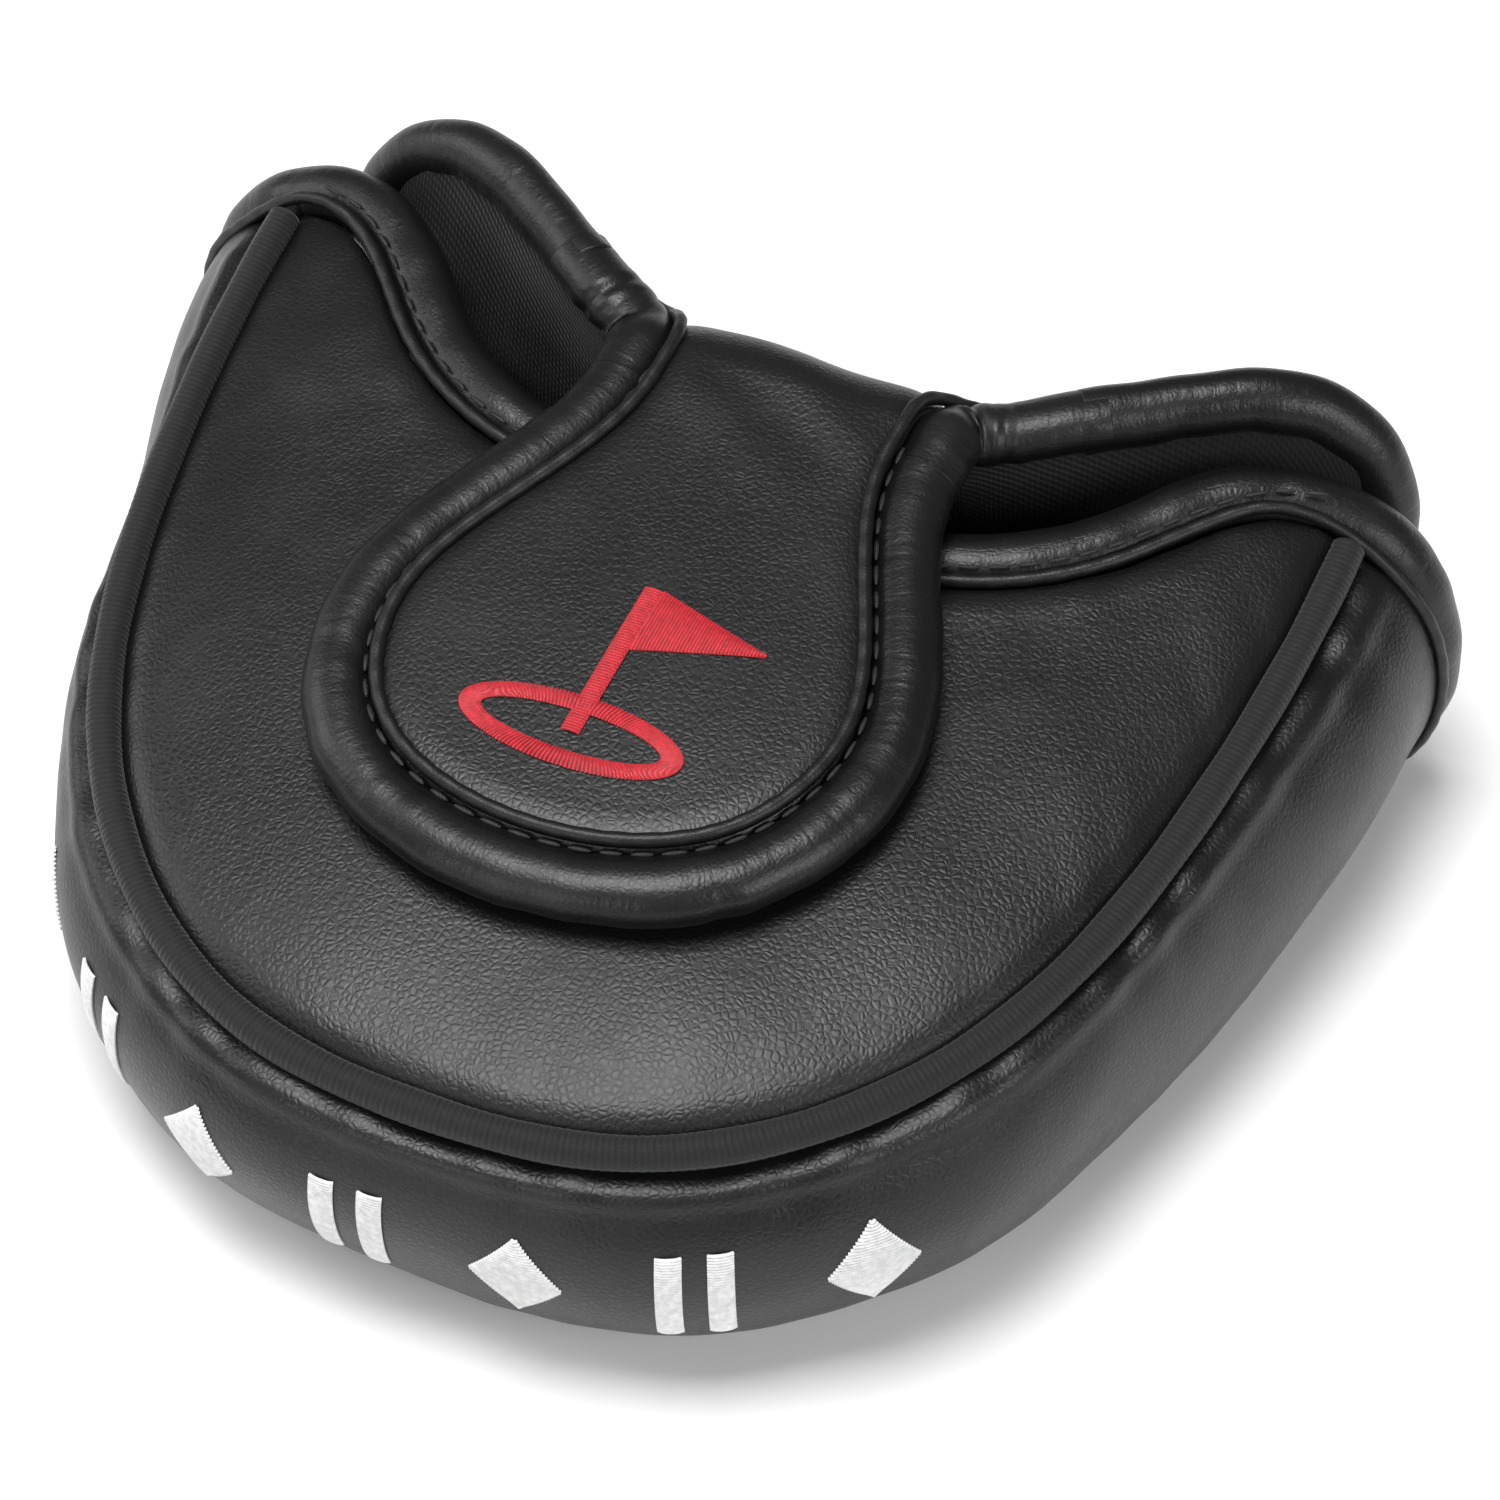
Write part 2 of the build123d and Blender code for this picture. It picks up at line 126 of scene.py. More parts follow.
def even(line: np.ndarray, count: int) -> np.ndarray:
    """Resample a line at equal steps along its length."""
    gone = np.concatenate([[0], np.cumsum(np.linalg.norm(np.diff(line, axis=0), axis=1))])
    at = np.linspace(0, gone[-1], count)
    return np.stack([np.interp(at, gone, line[:, k]) for k in range(line.shape[1])], axis=1)


def lengths(line: np.ndarray) -> np.ndarray:
    """Distance run along a line at each of its points."""
    return np.concatenate([[0], np.cumsum(np.linalg.norm(np.diff(line, axis=0), axis=1))])


def sideways(line: np.ndarray, distance: float) -> np.ndarray:
    """Move a plan line to its left by a distance.

    Args:
        line: Line samples.
        distance: How far, in millimetres.

    Returns:
        The moved samples.
    """
    run = np.gradient(line[:, :2], axis=0)
    run /= np.linalg.norm(run, axis=1)[:, None]
    out = line.copy()
    out[:, 0] -= run[:, 1] * distance
    out[:, 1] += run[:, 0] * distance
    return out


def strip(line: np.ndarray, around: float, sides: int, closed: bool = False) -> np.ndarray:
    """Surface coordinates of a tube, in metres along and around it.

    Args:
        line: Centre line samples.
        around: Distance round the tube, in millimetres.
        sides: Points in a ring.
        closed: Whether the last point reaches the full distance.

    Returns:
        Array of rings by sides by two.
    """
    turn = np.linspace(0, around, sides, endpoint=closed)
    return np.stack(np.meshgrid(lengths(line), turn, indexing="ij"), axis=-1) * MM


def mirror_points(points: Sequence) -> list[tuple]:
    """Left-hand copies of right-hand points, in reverse order."""
    return [(-p[0], *p[1:]) for p in reversed(points)]


def nearest(points: np.ndarray, line: np.ndarray) -> np.ndarray:
    """Shortest plan distance from each point to a line of samples.

    Args:
        points: Places, in any grid.
        line: Line samples.

    Returns:
        Distances in the points' own grid.
    """
    flat = points.reshape(-1, points.shape[-1])[:, :2]
    best = np.full(len(flat), 1e9)
    for low in range(0, len(line), 64):
        gap = np.linalg.norm(flat[:, None] - line[None, low:low + 64, :2], axis=2)
        best = np.minimum(best, gap.min(axis=1))
    return best.reshape(points.shape[:-1])


def quarter(x: np.ndarray) -> np.ndarray:
    """Quarter-round rise from 0 to 1 as x goes from 0 to 1."""
    return np.sqrt(1 - (1 - np.clip(x, 0, 1)) ** 2)


class Ripple:
    """Smooth repeatable unevenness made of a few random waves."""

    def __init__(self, seed: int, size: float, count: int = 14) -> None:
        """Draw the waves.

        Args:
            seed: Number that fixes the waves.
            size: Typical wavelength in millimetres.
            count: Number of waves.
        """
        rng = np.random.default_rng(seed)
        self.turns = rng.normal(size=(count, 3)) * (2 * math.pi / size) * 0.6
        self.phase = rng.uniform(0, 2 * math.pi, count)

    def __call__(self, points: np.ndarray) -> np.ndarray:
        """Value near the range -1 to 1 at each point."""
        flat = points.reshape(-1, points.shape[-1])
        flat = np.pad(flat, ((0, 0), (0, 3 - flat.shape[1])))
        value = np.sin(flat @ self.turns.T + self.phase).sum(axis=1)
        return (value / math.sqrt(len(self.phase)) * 0.9).reshape(points.shape[:-1])


# --- meshes -----------------------------------------------------------------
class Workshop:
    """Makes finished mesh objects in the row's frame from millimetre points."""

    def __init__(self) -> None:
        """Find where the CAD model's drawing origin lies."""
        low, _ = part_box("foot_fold")
        self.shift = np.array([0.0, low[1] / MM - P.foot_y, 0.0])

    def place(self, points: np.ndarray) -> np.ndarray:
        """Drawing millimetres to metres in the row's frame."""
        return (np.asarray(points, float) + self.shift) * MM

    def mesh(self, name: str, points: np.ndarray, faces: Iterable, uv: np.ndarray | None = None,
             smooth: bool = True) -> bpy.types.Object:
        """Object from points and faces.

        Args:
            name: Piece name.
            points: Places in drawing millimetres.
            faces: Corner numbers of each face.
            uv: Surface coordinates per point, in metres.
            smooth: Whether faces shade smoothly.

        Returns:
            The new object, linked to the scene.
        """
        data = bpy.data.meshes.new(name)
        data.from_pydata(self.place(points).tolist(), [], [list(map(int, f)) for f in faces])
        if uv is not None:
            layer = data.uv_layers.new(name="Surface")
            index = np.zeros(len(data.loops), dtype=np.int32)
            data.loops.foreach_get("vertex_index", index)
            layer.data.foreach_set("uv", np.asarray(uv, np.float32)[index].ravel())
        data.validate()
        if smooth:
            data.polygons.foreach_set("use_smooth", [True] * len(data.polygons))
        obj = bpy.data.objects.new(name, data)
        bpy.context.scene.collection.objects.link(obj)
        return obj

    def tube(self, name: str, rings: np.ndarray, uv: np.ndarray | None = None) -> bpy.types.Object:
        """Closed skin over a row of closed rings, with both ends capped.

        Args:
            name: Piece name.
            rings: Array of rings by points by three.
            uv: Surface coordinates of the same layout, in metres.

        Returns:
            The new object.
        """
        n, k = rings.shape[:2]
        i, j = np.meshgrid(np.arange(n - 1), np.arange(k), indexing="ij")
        after = (j + 1) % k
        quads = np.stack([i * k + j, i * k + after, (i + 1) * k + after, (i + 1) * k + j], axis=-1)
        faces = [tuple(q) for q in quads.reshape(-1, 4)]
        faces.append(tuple(range(k))[::-1])
        faces.append(tuple((n - 1) * k + c for c in range(k)))
        flat_uv = None if uv is None else uv.reshape(-1, 2)
        obj = self.mesh(name, rings.reshape(-1, 3), faces, flat_uv)
        return self.outward(obj)

    def pad(self, name: str, upper: np.ndarray, lower: np.ndarray) -> bpy.types.Object:
        """Closed pad between two grids of the same layout, joined round the edge.

        Args:
            name: Piece name.
            upper: Grid of outside points.
            lower: Grid of inside points.

        Returns:
            The new object.
        """
        r, c = upper.shape[:2]
        size = r * c
        i, j = np.meshgrid(np.arange(r - 1), np.arange(c - 1), indexing="ij")
        quads = np.stack([i * c + j, i * c + j + 1, (i + 1) * c + j + 1, (i + 1) * c + j], axis=-1)
        quads = quads.reshape(-1, 4)
        faces = [tuple(q) for q in quads] + [tuple(q[::-1] + size) for q in quads]
        rim = [j for j in range(c)] + [i * c + c - 1 for i in range(1, r)]
        rim += [(r - 1) * c + j for j in range(c - 2, -1, -1)] + [i * c for i in range(r - 2, 0, -1)]
        for a, b in zip(rim, rim[1:] + rim[:1]):
            faces.append((b, a, a + size, b + size))
        points = np.vstack([upper.reshape(-1, 3), lower.reshape(-1, 3)])
        step = np.linalg.norm(np.diff(upper, axis=1), axis=2).mean(), np.linalg.norm(
            np.diff(upper, axis=0), axis=2).mean()
        grid = np.stack(np.meshgrid(np.arange(c) * step[0], np.arange(r) * step[1]), axis=-1)
        uv = np.vstack([grid.reshape(-1, 2)] * 2) * MM
        return self.outward(self.mesh(name, points, faces, uv))

    @staticmethod
    def outward(obj: bpy.types.Object) -> bpy.types.Object:
        """Merge doubles and turn every face outwards.

        Args:
            obj: Closed mesh object.

        Returns:
            The same object.
        """
        work = bmesh.new()
        work.from_mesh(obj.data)
        bmesh.ops.remove_doubles(work, verts=work.verts, dist=1e-6)
        bmesh.ops.recalc_face_normals(work, faces=work.faces)
        work.to_mesh(obj.data)
        work.free()
        return obj


def rings_along(line: np.ndarray, radius: np.ndarray, sides: int, up: Sequence = (0, 0, 1),
                flat: float = 1.0) -> np.ndarray:
    """Rings of points round a line.

    Args:
        line: Centre line samples.
        radius: Radius at each ring, or at each ring and side.
        sides: Points in a ring.
        up: Direction that fixes the first axis of each ring.
        flat: Height of the section as a share of its width.

    Returns:
        Array of rings by sides by three.
    """
    run = np.gradient(line, axis=0)
    run /= np.linalg.norm(run, axis=1)[:, None]
    side = np.cross(run, np.array(up, float))
    weak = np.linalg.norm(side, axis=1) < 0.2
    side[weak] = np.cross(run[weak], np.array((0.0, 1.0, 0.0)))
    side /= np.linalg.norm(side, axis=1)[:, None]
    for i in range(1, len(side)):
        kept = side[i - 1] - run[i] * (side[i - 1] @ run[i])
        side[i] = kept / np.linalg.norm(kept)
    top = np.cross(side, run)
    angle = np.linspace(0, 2 * math.pi, sides, endpoint=False)
    radius = np.broadcast_to(np.asarray(radius, float), (len(line), sides)) if np.ndim(
        radius) != 1 else np.repeat(np.asarray(radius, float)[:, None], sides, axis=1)
    return (line[:, None] + radius[..., None] * np.cos(angle)[None, :, None] * side[:, None]
            + flat * radius[..., None] * np.sin(angle)[None, :, None] * top[:, None])


@dataclass(frozen=True)
class Creases:
    """Small folds across a rolled edge."""

    seed: int
    depth: float
    spacing: float
    width: float = 1.1
    skew: float = 1.2

    def radius(self, line: np.ndarray, base: float, sides: int,
               weight: Callable[[np.ndarray], np.ndarray] | None = None) -> np.ndarray:
        """Radius at each ring and side of a roll with creases.

        Args:
            line: Centre line samples.
            base: Radius of the plain roll.
            sides: Points in a ring.
            weight: Depth multiplier as a function of the place of a crease.

        Returns:
            Array of rings by sides.
        """
        rng = np.random.default_rng(self.seed)
        gone = lengths(line)
        angle = np.linspace(0, 2 * math.pi, sides, endpoint=False)
        out = np.full((len(line), sides), base)
        out += 0.02 * base * np.sin(gone * 0.31 + self.seed)[:, None]
        out += 0.015 * base * np.sin(gone * 0.83 + 2 * self.seed)[:, None] * np.cos(angle)[None]
        count = int(gone[-1] / self.spacing)
        for k in range(count):
            at = gone[-1] * (k + rng.uniform(0.1, 0.9)) / count
            lean = rng.normal(0, self.skew)
            face = rng.uniform(0, 2 * math.pi)
            wide = self.width * rng.uniform(0.6, 1.5)
            deep = self.depth * rng.uniform(0.3, 1.0)
            if weight is not None:
                deep *= float(weight(line[np.searchsorted(gone, at) - 1]))
            reach = np.clip(0.35 + 0.65 * np.cos(angle - face), 0, 1)
            away = (gone[:, None] - at - lean * np.sin(angle - face)[None]) / wide
            out -= deep * reach[None] * (np.exp(-away ** 2) - 0.45 * np.exp(-(away - 1.6) ** 2)
                                         - 0.45 * np.exp(-(away + 1.6) ** 2))
        return out


# --- sizes shared by every piece ---------------------------------------------
@dataclass(frozen=True)
class Pattern:
    """Cutting sizes of the cover, in millimetres, as in the CAD model."""

    seam_half: float = 61.5
    seam_length: float = 100.0
    belly_half: float = 73.0
    belly_length: float = 106.5
    foot_half: float = 62.0
    foot_length: float = 97.0
    rear_height: float = 39.0
    fall: float = math.radians(4.4)
    mouth_y: float = 45.0
    gusset_end: float = 43.35
    gusset_low: float = 3.0
    gusset_high: float = 37.9
    notch: float = 25.0
    notch_half: float = 24.0
    horn_x: float = 57.0
    horn_inset: float = 2.0
    top_height: float = 4.5
    fold_y: float = 33.0
    fold_z: float = 41.386
    lean: float = math.radians(17.0)
    sweep: float = 18.0
    wing_half: float = 61.0
    wing_top: float = 46.0
    wing_round: float = 15.0
    wall_foot: float = 55.0
    wall_base: float = 5.1
    neck_half: float = 18.0
    roll: float = 3.0
    lip_roll: float = 3.7
    inner: float = 2.0
    thick: float = 6.0
    stub: float = 3.0
    tongue_half: float = 29.0
    tongue_wide_at: float = 38.0
    tongue_length: float = 64.5
    drift: float = 2.2
    left_pull: float = 0.05
    skew: float = 0.05
    roll_wide: float = 3.75
    roll_high: float = 3.15
    welt: float = 0.75

    @property
    def roll_in(self) -> float:
        """How far the flap's roll centre lies inside the sewing line."""
        return self.roll_wide - self.roll

    @property
    def welt_in(self) -> float:
        """How far the flap's welt lies inside the sewing line."""
        return self.roll_in + self.roll_wide + 0.25

    @property
    def bend(self) -> float:
        """Angle through which the flap folds over, in radians."""
        return math.pi / 2 - self.lean + self.fall

    @property
    def foot_y(self) -> float:
        """Inside face of the rear wall at floor level."""
        return self.fold_y + self.inner / math.cos(self.lean) + self.fold_z * math.tan(self.lean)

    def d_line(self, half: float, length: float, count: int, bulge: float = 0.0) -> np.ndarray:
        """D-shaped plan line from the left rear end round the front to the right.

        Args:
            half: Half its width.
            length: How far it reaches to the front.
            count: Number of samples.
            bulge: 0 at the seam and 1 at the fullest line.

        Returns:
            Line samples.
        """
        front = self.mouth_y - length
        shares = ((0.34, 0.03), (0.75 - 0.035 * bulge, 0.24), (0.95 - 0.04 * bulge, 0.61))
        side = [(half * a, front + length * b) for a, b in shares]
        side.append((half, self.gusset_end))
        return spline(mirror_points(side) + [(0, front)] + side, count, (0, -1), (0, 1))

    def lip_line(self, count: int) -> np.ndarray:
        """Opening edge of the top panel in plan, left horn to right horn.

        Args:
            count: Number of samples.

        Returns:
            Line samples.
        """
        low = self.mouth_y - self.notch
        horn = self.mouth_y - self.horn_inset
        right = [(self.notch_half, low), ((self.notch_half + self.horn_x) / 2 + 1,
                                          (low + horn) / 2 - 1.5),
                 (self.horn_x - 5.5, horn - 2.5), (self.horn_x, horn)]
        return spline(mirror_points(right) + [(0, low - 0.5)] + right, count, (1, -0.1), (1, 0.1))

    def on_seam(self, plan: np.ndarray, level: np.ndarray | float) -> np.ndarray:
        """Plan points and heights over the tilted seam plane, as places.

        Args:
            plan: Plan points.
            level: Height over the seam plane.

        Returns:
            Places, in millimetres.
        """
        y = plan[..., 1] - self.mouth_y
        level = np.broadcast_to(level, y.shape)
        return np.stack([plan[..., 0], self.mouth_y + y * math.cos(self.fall)
                         - level * math.sin(self.fall),
                         self.rear_height + y * math.sin(self.fall) + level * math.cos(self.fall)],
                        axis=-1)

    def gusset(self, share: np.ndarray, inset: float, count: int) -> np.ndarray:
        """Grid of the bulging side band.

        Args:
            share: Share of the band's height for each row.
            inset: Depth from the outside.
            count: Samples round the band.

        Returns:
            Array of rows by samples by three.
        """
        rows = []
        for s in share:
            bulge = math.sqrt(max(1 - (2 * s - 1) ** 2, 0))
            half = self.foot_half + (self.seam_half - self.foot_half) * s
            half += (self.belly_half - (self.seam_half + self.foot_half) / 2) * bulge - inset
            length = self.foot_length + (self.seam_length - self.foot_length) * s
            length += (self.belly_length - (self.seam_length + self.foot_length) / 2) * bulge
            plan = self.d_line(half, length - inset, count, bulge)
            tilt = self.fall * s
            y = plan[:, 1] - self.mouth_y
            z = self.gusset_low + (self.gusset_high - self.gusset_low) * s + y * math.sin(tilt)
            rows.append(np.stack([plan[:, 0], self.mouth_y + y * math.cos(tilt), z], axis=1))
        return np.array(rows)

    def wall(self, x: np.ndarray, z: np.ndarray, depth: np.ndarray | float) -> np.ndarray:
        """Places on the rear wall at a depth from its inside face.

        Args:
            x: Distance from the middle.
            z: Height.
            depth: Distance behind the inside face.

        Returns:
            Places, in millimetres.
        """
        run = np.clip((np.abs(x) - self.neck_half) / (self.wing_half - self.neck_half), 0, 1)
        back = self.sweep * np.sin(0.5 * math.pi * run) ** 1.3
        y = (self.foot_y + depth / math.cos(self.lean) - z * math.tan(self.lean)
             + back * z / self.fold_z)
        pull = np.where(np.asarray(x) < 0, 1 - self.left_pull * np.asarray(z) / self.fold_z, 1.0)
        return np.stack([x * pull + self.drift * z / self.fold_z, y, z], axis=-1)

    def hinge(self, local: np.ndarray) -> np.ndarray:
        """Places from coordinates about the flap's hinge line."""
        y, z = local[..., 1], local[..., 2]
        return np.stack([local[..., 0] + self.drift + self.skew * np.minimum(y, 0),
                         self.fold_y + y * math.cos(self.fall) - z * math.sin(self.fall),
                         self.fold_z + y * math.sin(self.fall) + z * math.cos(self.fall)], axis=-1)

    def round_fold(self, x: np.ndarray, run: np.ndarray, level: np.ndarray) -> np.ndarray:
        """Places round the fold.

        Args:
            x: Place along the hinge line.
            run: Distance round the fold's middle; negative is on the flap.
            level: Distance from the hinge line.

        Returns:
            Places in the drawing frame.
        """
        mid = self.inner + self.thick / 2
        arc = self.bend * mid
        turn = np.clip(run, 0, arc) / mid
        before = np.minimum(run, 0)
        after = np.maximum(run - arc, 0)
        y = level * np.sin(turn) + before + after * math.cos(self.bend)
        z = level * np.cos(turn) - after * math.sin(self.bend)
        return self.hinge(np.stack(np.broadcast_arrays(x, y, z), axis=-1))

    def tongue_half_line(self, count: int) -> np.ndarray:
        """Right half of the flap's roll centre line, about the hinge line."""
        points = [(self.neck_half, -self.stub - 0.6), (self.neck_half + 2.5, -14.0),
                  (self.tongue_half, -self.tongue_wide_at),
                  (self.tongue_half * 0.76, -self.tongue_length * 0.875), (0, -self.tongue_length)]
        return spline(points, count, (0, -1), (-1, 0))

    def tongue_line(self, count: int) -> np.ndarray:
        """Whole roll centre line of the flap, right to left."""
        half = self.tongue_half_line(count)
        return even(np.vstack([half, [(-x, y) for x, y in half[-2::-1]]]), count)


P = Pattern()


Fed = bpy.types.NodeSocket | float | int | tuple


# --- materials --------------------------------------------------------------
class Nodes:
    """Short way to wire a material's nodes."""

    def __init__(self, name: str) -> None:
        """Start a material with one surface shader.

        Args:
            name: Name of the material.
        """
        self.material = bpy.data.materials.new(name)
        self.material.use_nodes = True
        self.tree = self.material.node_tree
        self.tree.nodes.clear()
        self.out = self.tree.nodes.new("ShaderNodeOutputMaterial")
        self.shader = self.tree.nodes.new("ShaderNodeBsdfPrincipled")
        self.tree.links.new(self.shader.outputs[0], self.out.inputs[0])

    def add(self, kind: str, inputs: dict | None = None, **settings) -> bpy.types.Node:
        """New node with its settings and inputs.

        Args:
            kind: Blender's node type.
            inputs: Socket name or number to a value or another socket.
            settings: Properties of the node.

        Returns:
            The node.
        """
        node = self.tree.nodes.new(kind)
        for key, value in settings.items():
            setattr(node, key, value)
        for key, value in (inputs or {}).items():
            self.feed(node.inputs[key], value)
        return node

    def feed(self, socket: bpy.types.NodeSocket, value: Fed) -> None:
        """Link or set a socket.

        Args:
            socket: Input to fill.
            value: Another node's output, or a constant.
        """
        if isinstance(value, bpy.types.NodeSocket):
            self.tree.links.new(value, socket)
        else:
            socket.default_value = value

    def math(self, how: str, a: Fed, b: Fed = 0.5, c: Fed = 0.5) -> bpy.types.NodeSocket:
        """Result of a Math node.

        Args:
            how: The node's operation.
            a: First input.
            b: Second input.
            c: Third input.

        Returns:
            The result's socket.
        """
        node = self.tree.nodes.new("ShaderNodeMath")
        node.operation = how
        for socket, value in zip(node.inputs, (a, b, c)):
            self.feed(socket, value)
        return node.outputs[0]

    def ramp(self, value: Fed, stops: Sequence[tuple[float, tuple]]) -> bpy.types.NodeSocket:
        """Colour from a value through colour stops.

        Args:
            value: What picks the colour.
            stops: Places from 0 to 1 with their colours.

        Returns:
            The colour's socket.
        """
        node = self.add("ShaderNodeValToRGB", {0: value})
        marks = node.color_ramp.elements
        while len(marks) < len(stops):
            marks.new(0.5)
        for mark, (place, colour) in zip(marks, stops):
            mark.position = place
            mark.color = (*colour, 1)
        return node.outputs[0]

    def span(self, value: Fed, low: float, high: float, a: float = 0,
             b: float = 1) -> bpy.types.NodeSocket:
        """Value moved from one range to another.

        Args:
            value: What is moved.
            low: Result at a.
            high: Result at b.
            a: Start of the first range.
            b: End of the first range.

        Returns:
            The result's socket.
        """
        node = self.add("ShaderNodeMapRange", {0: value, 1: a, 2: b, 3: low, 4: high})
        return node.outputs[0]

    def place(self) -> bpy.types.NodeSocket:
        """Object coordinates."""
        return self.add("ShaderNodeTexCoord").outputs["Object"]

    def surface(self) -> bpy.types.NodeSocket:
        """Surface coordinates, in metres along and across."""
        return self.add("ShaderNodeUVMap", uv_map="Surface").outputs[0]

    def noise(self, at: Fed, scale: float, detail: float = 3,
              rough: float = 0.5) -> bpy.types.NodeSocket:
        """Noise value at a place.

        Args:
            at: Place that it is read at.
            scale: Number of waves in a metre.
            detail: Number of finer layers.
            rough: Strength of the finer layers.

        Returns:
            The value's socket.
        """
        node = self.add("ShaderNodeTexNoise", {"Vector": at, "Scale": scale, "Detail": detail,
                                               "Roughness": rough})
        return node.outputs[0]

    def bump(self, layers: Sequence[tuple]) -> None:
        """Stack bumps, each a height, a depth in metres and a strength."""
        normal = None
        for height, depth, strength in layers:
            node = self.add("ShaderNodeBump", {"Height": height, "Distance": depth,
                                               "Strength": strength})
            if normal is not None:
                self.tree.links.new(normal, node.inputs["Normal"])
            normal = node.outputs[0]
        self.tree.links.new(normal, self.shader.inputs["Normal"])

    def set(self, **values) -> None:
        """Set shader sockets; underscores stand for spaces."""
        for key, value in values.items():
            self.feed(self.shader.inputs[key.replace("_", " ")], value)


@dataclass(frozen=True)
class Leather:
    """Coated black leather with a fine pebbled grain."""

    name: str = "cover_leather"
    dark: tuple = (0.0035, 0.0035, 0.004)
    light: tuple = (0.0065, 0.0065, 0.007)
    grain: float = 1350.0
    grain_depth: float = 0.00006
    gloss: tuple = (0.34, 0.43)
    wrinkle: float = 0.0

    def build(self) -> bpy.types.Material:
        """Make the material."""
        n = Nodes(self.name)
        at = n.place()
        warp = n.add("ShaderNodeTexNoise", {"Vector": at, "Scale": 420, "Detail": 2})
        mixed = n.add("ShaderNodeVectorMath", {0: at, 1: n.add(
            "ShaderNodeVectorMath", {0: warp.outputs[1], "Scale": 0.0006},
            operation="SCALE").outputs[0]}, operation="ADD").outputs[0]
        cells = n.add("ShaderNodeTexVoronoi", {"Vector": mixed, "Scale": self.grain},
                      feature="DISTANCE_TO_EDGE").outputs["Distance"]
        pebble = n.span(cells, 0.0, 1.0, 0.0, 0.3)
        pores = n.noise(at, 3600, 2)
        broad = n.noise(at, 34, 3)
        scuff = n.noise(at, 120, 5, 0.6)
        n.set(Base_Color=n.ramp(n.math("MULTIPLY_ADD", broad, 0.7, n.math("MULTIPLY", pebble, 0.3)),
                                [(0.25, self.dark), (0.8, self.light)]))
        worn = n.span(scuff, 0.0, 0.10, 0.52, 0.78)
        rough = n.math("ADD", worn, n.span(n.math("MULTIPLY_ADD", pebble, -0.25, broad),
                                           self.gloss[0], self.gloss[1], 0.15, 0.65))
        n.set(Roughness=rough, IOR=1.5, Specular_IOR_Level=0.42)
        layers = [(broad, 0.0006, 0.2)]
        if self.wrinkle:
            turned = n.add("ShaderNodeVectorMath", {0: n.surface(), 1: (620.0, 150.0, 1.0)},
                           operation="MULTIPLY").outputs[0]
            fine = n.add("ShaderNodeTexNoise", {"Vector": turned, "Scale": 1.0, "Detail": 3,
                                                "Distortion": 0.7}).outputs[0]
            layers.append((n.span(fine, 0.0, 1.0, 0.35, 0.6), 0.00022, self.wrinkle))
        layers += [(pebble, self.grain_depth, 0.42), (pores, 0.00002, 0.25)]
        n.bump(layers)
        return n.material


@dataclass(frozen=True)
class Ribbed:
    """Matte woven piping tape."""

    name: str = "ribbed_piping"
    colour: tuple = (0.003, 0.003, 0.0034)
    top: tuple = (0.009, 0.009, 0.0098)
    rib: float = 0.00062

    def build(self) -> bpy.types.Material:
        """Make the material."""
        n = Nodes(self.name)
        at = n.surface()
        split = n.add("ShaderNodeSeparateXYZ", {0: at})
        along = n.math("MULTIPLY", split.outputs[0], 2 * math.pi / self.rib)
        across = n.math("MULTIPLY", split.outputs[1], 2 * math.pi / 0.00055)
        rib = n.span(n.math("SINE", along), 0, 1, -1, 1)
        thread = n.span(n.math("SINE", n.math("ADD", across, along)), 0, 1, -1, 1)
        fuzz = n.noise(n.place(), 2600, 3)
        height = n.math("MULTIPLY_ADD", thread, 0.3, n.math("MULTIPLY_ADD", fuzz, 0.25, rib))
        n.set(Base_Color=n.ramp(n.math("MULTIPLY", height, 0.62), [(0.1, self.colour),
                                                                   (0.95, self.top)]),
              Roughness=n.span(fuzz, 0.62, 0.82), Sheen_Weight=0.12, Sheen_Roughness=0.5,
              Specular_IOR_Level=0.35)
        n.bump([(height, 0.00014, 0.45)])
        return n.material


@dataclass(frozen=True)
class Twill:
    """Black lining with a diagonal weave."""

    name: str = "twill_lining"
    dark: tuple = (0.0035, 0.0035, 0.004)
    light: tuple = (0.014, 0.014, 0.015)

    def build(self) -> bpy.types.Material:
        """Make the material."""
        n = Nodes(self.name)
        split = n.add("ShaderNodeSeparateXYZ", {0: n.surface()})
        slant = n.math("ADD", split.outputs[0], split.outputs[1])
        rib = n.span(n.math("SINE", n.math("MULTIPLY", slant, 2 * math.pi / 0.0009)), 0, 1, -1, 1)
        weft = n.span(n.math("SINE", n.math("MULTIPLY", split.outputs[0], 2 * math.pi / 0.00042)),
                      0, 1, -1, 1)
        fuzz = n.noise(n.place(), 900, 3)
        height = n.math("MULTIPLY_ADD", weft, 0.4, rib)
        n.set(Base_Color=n.ramp(n.math("MULTIPLY_ADD", fuzz, 0.3, n.math("MULTIPLY", height, 0.5)),
                                [(0.1, self.dark), (0.95, self.light)]),
              Roughness=n.span(fuzz, 0.7, 0.9), Sheen_Weight=0.12, Sheen_Roughness=0.45,
              Specular_IOR_Level=0.3)
        n.bump([(height, 0.00018, 0.6)])
        return n.material


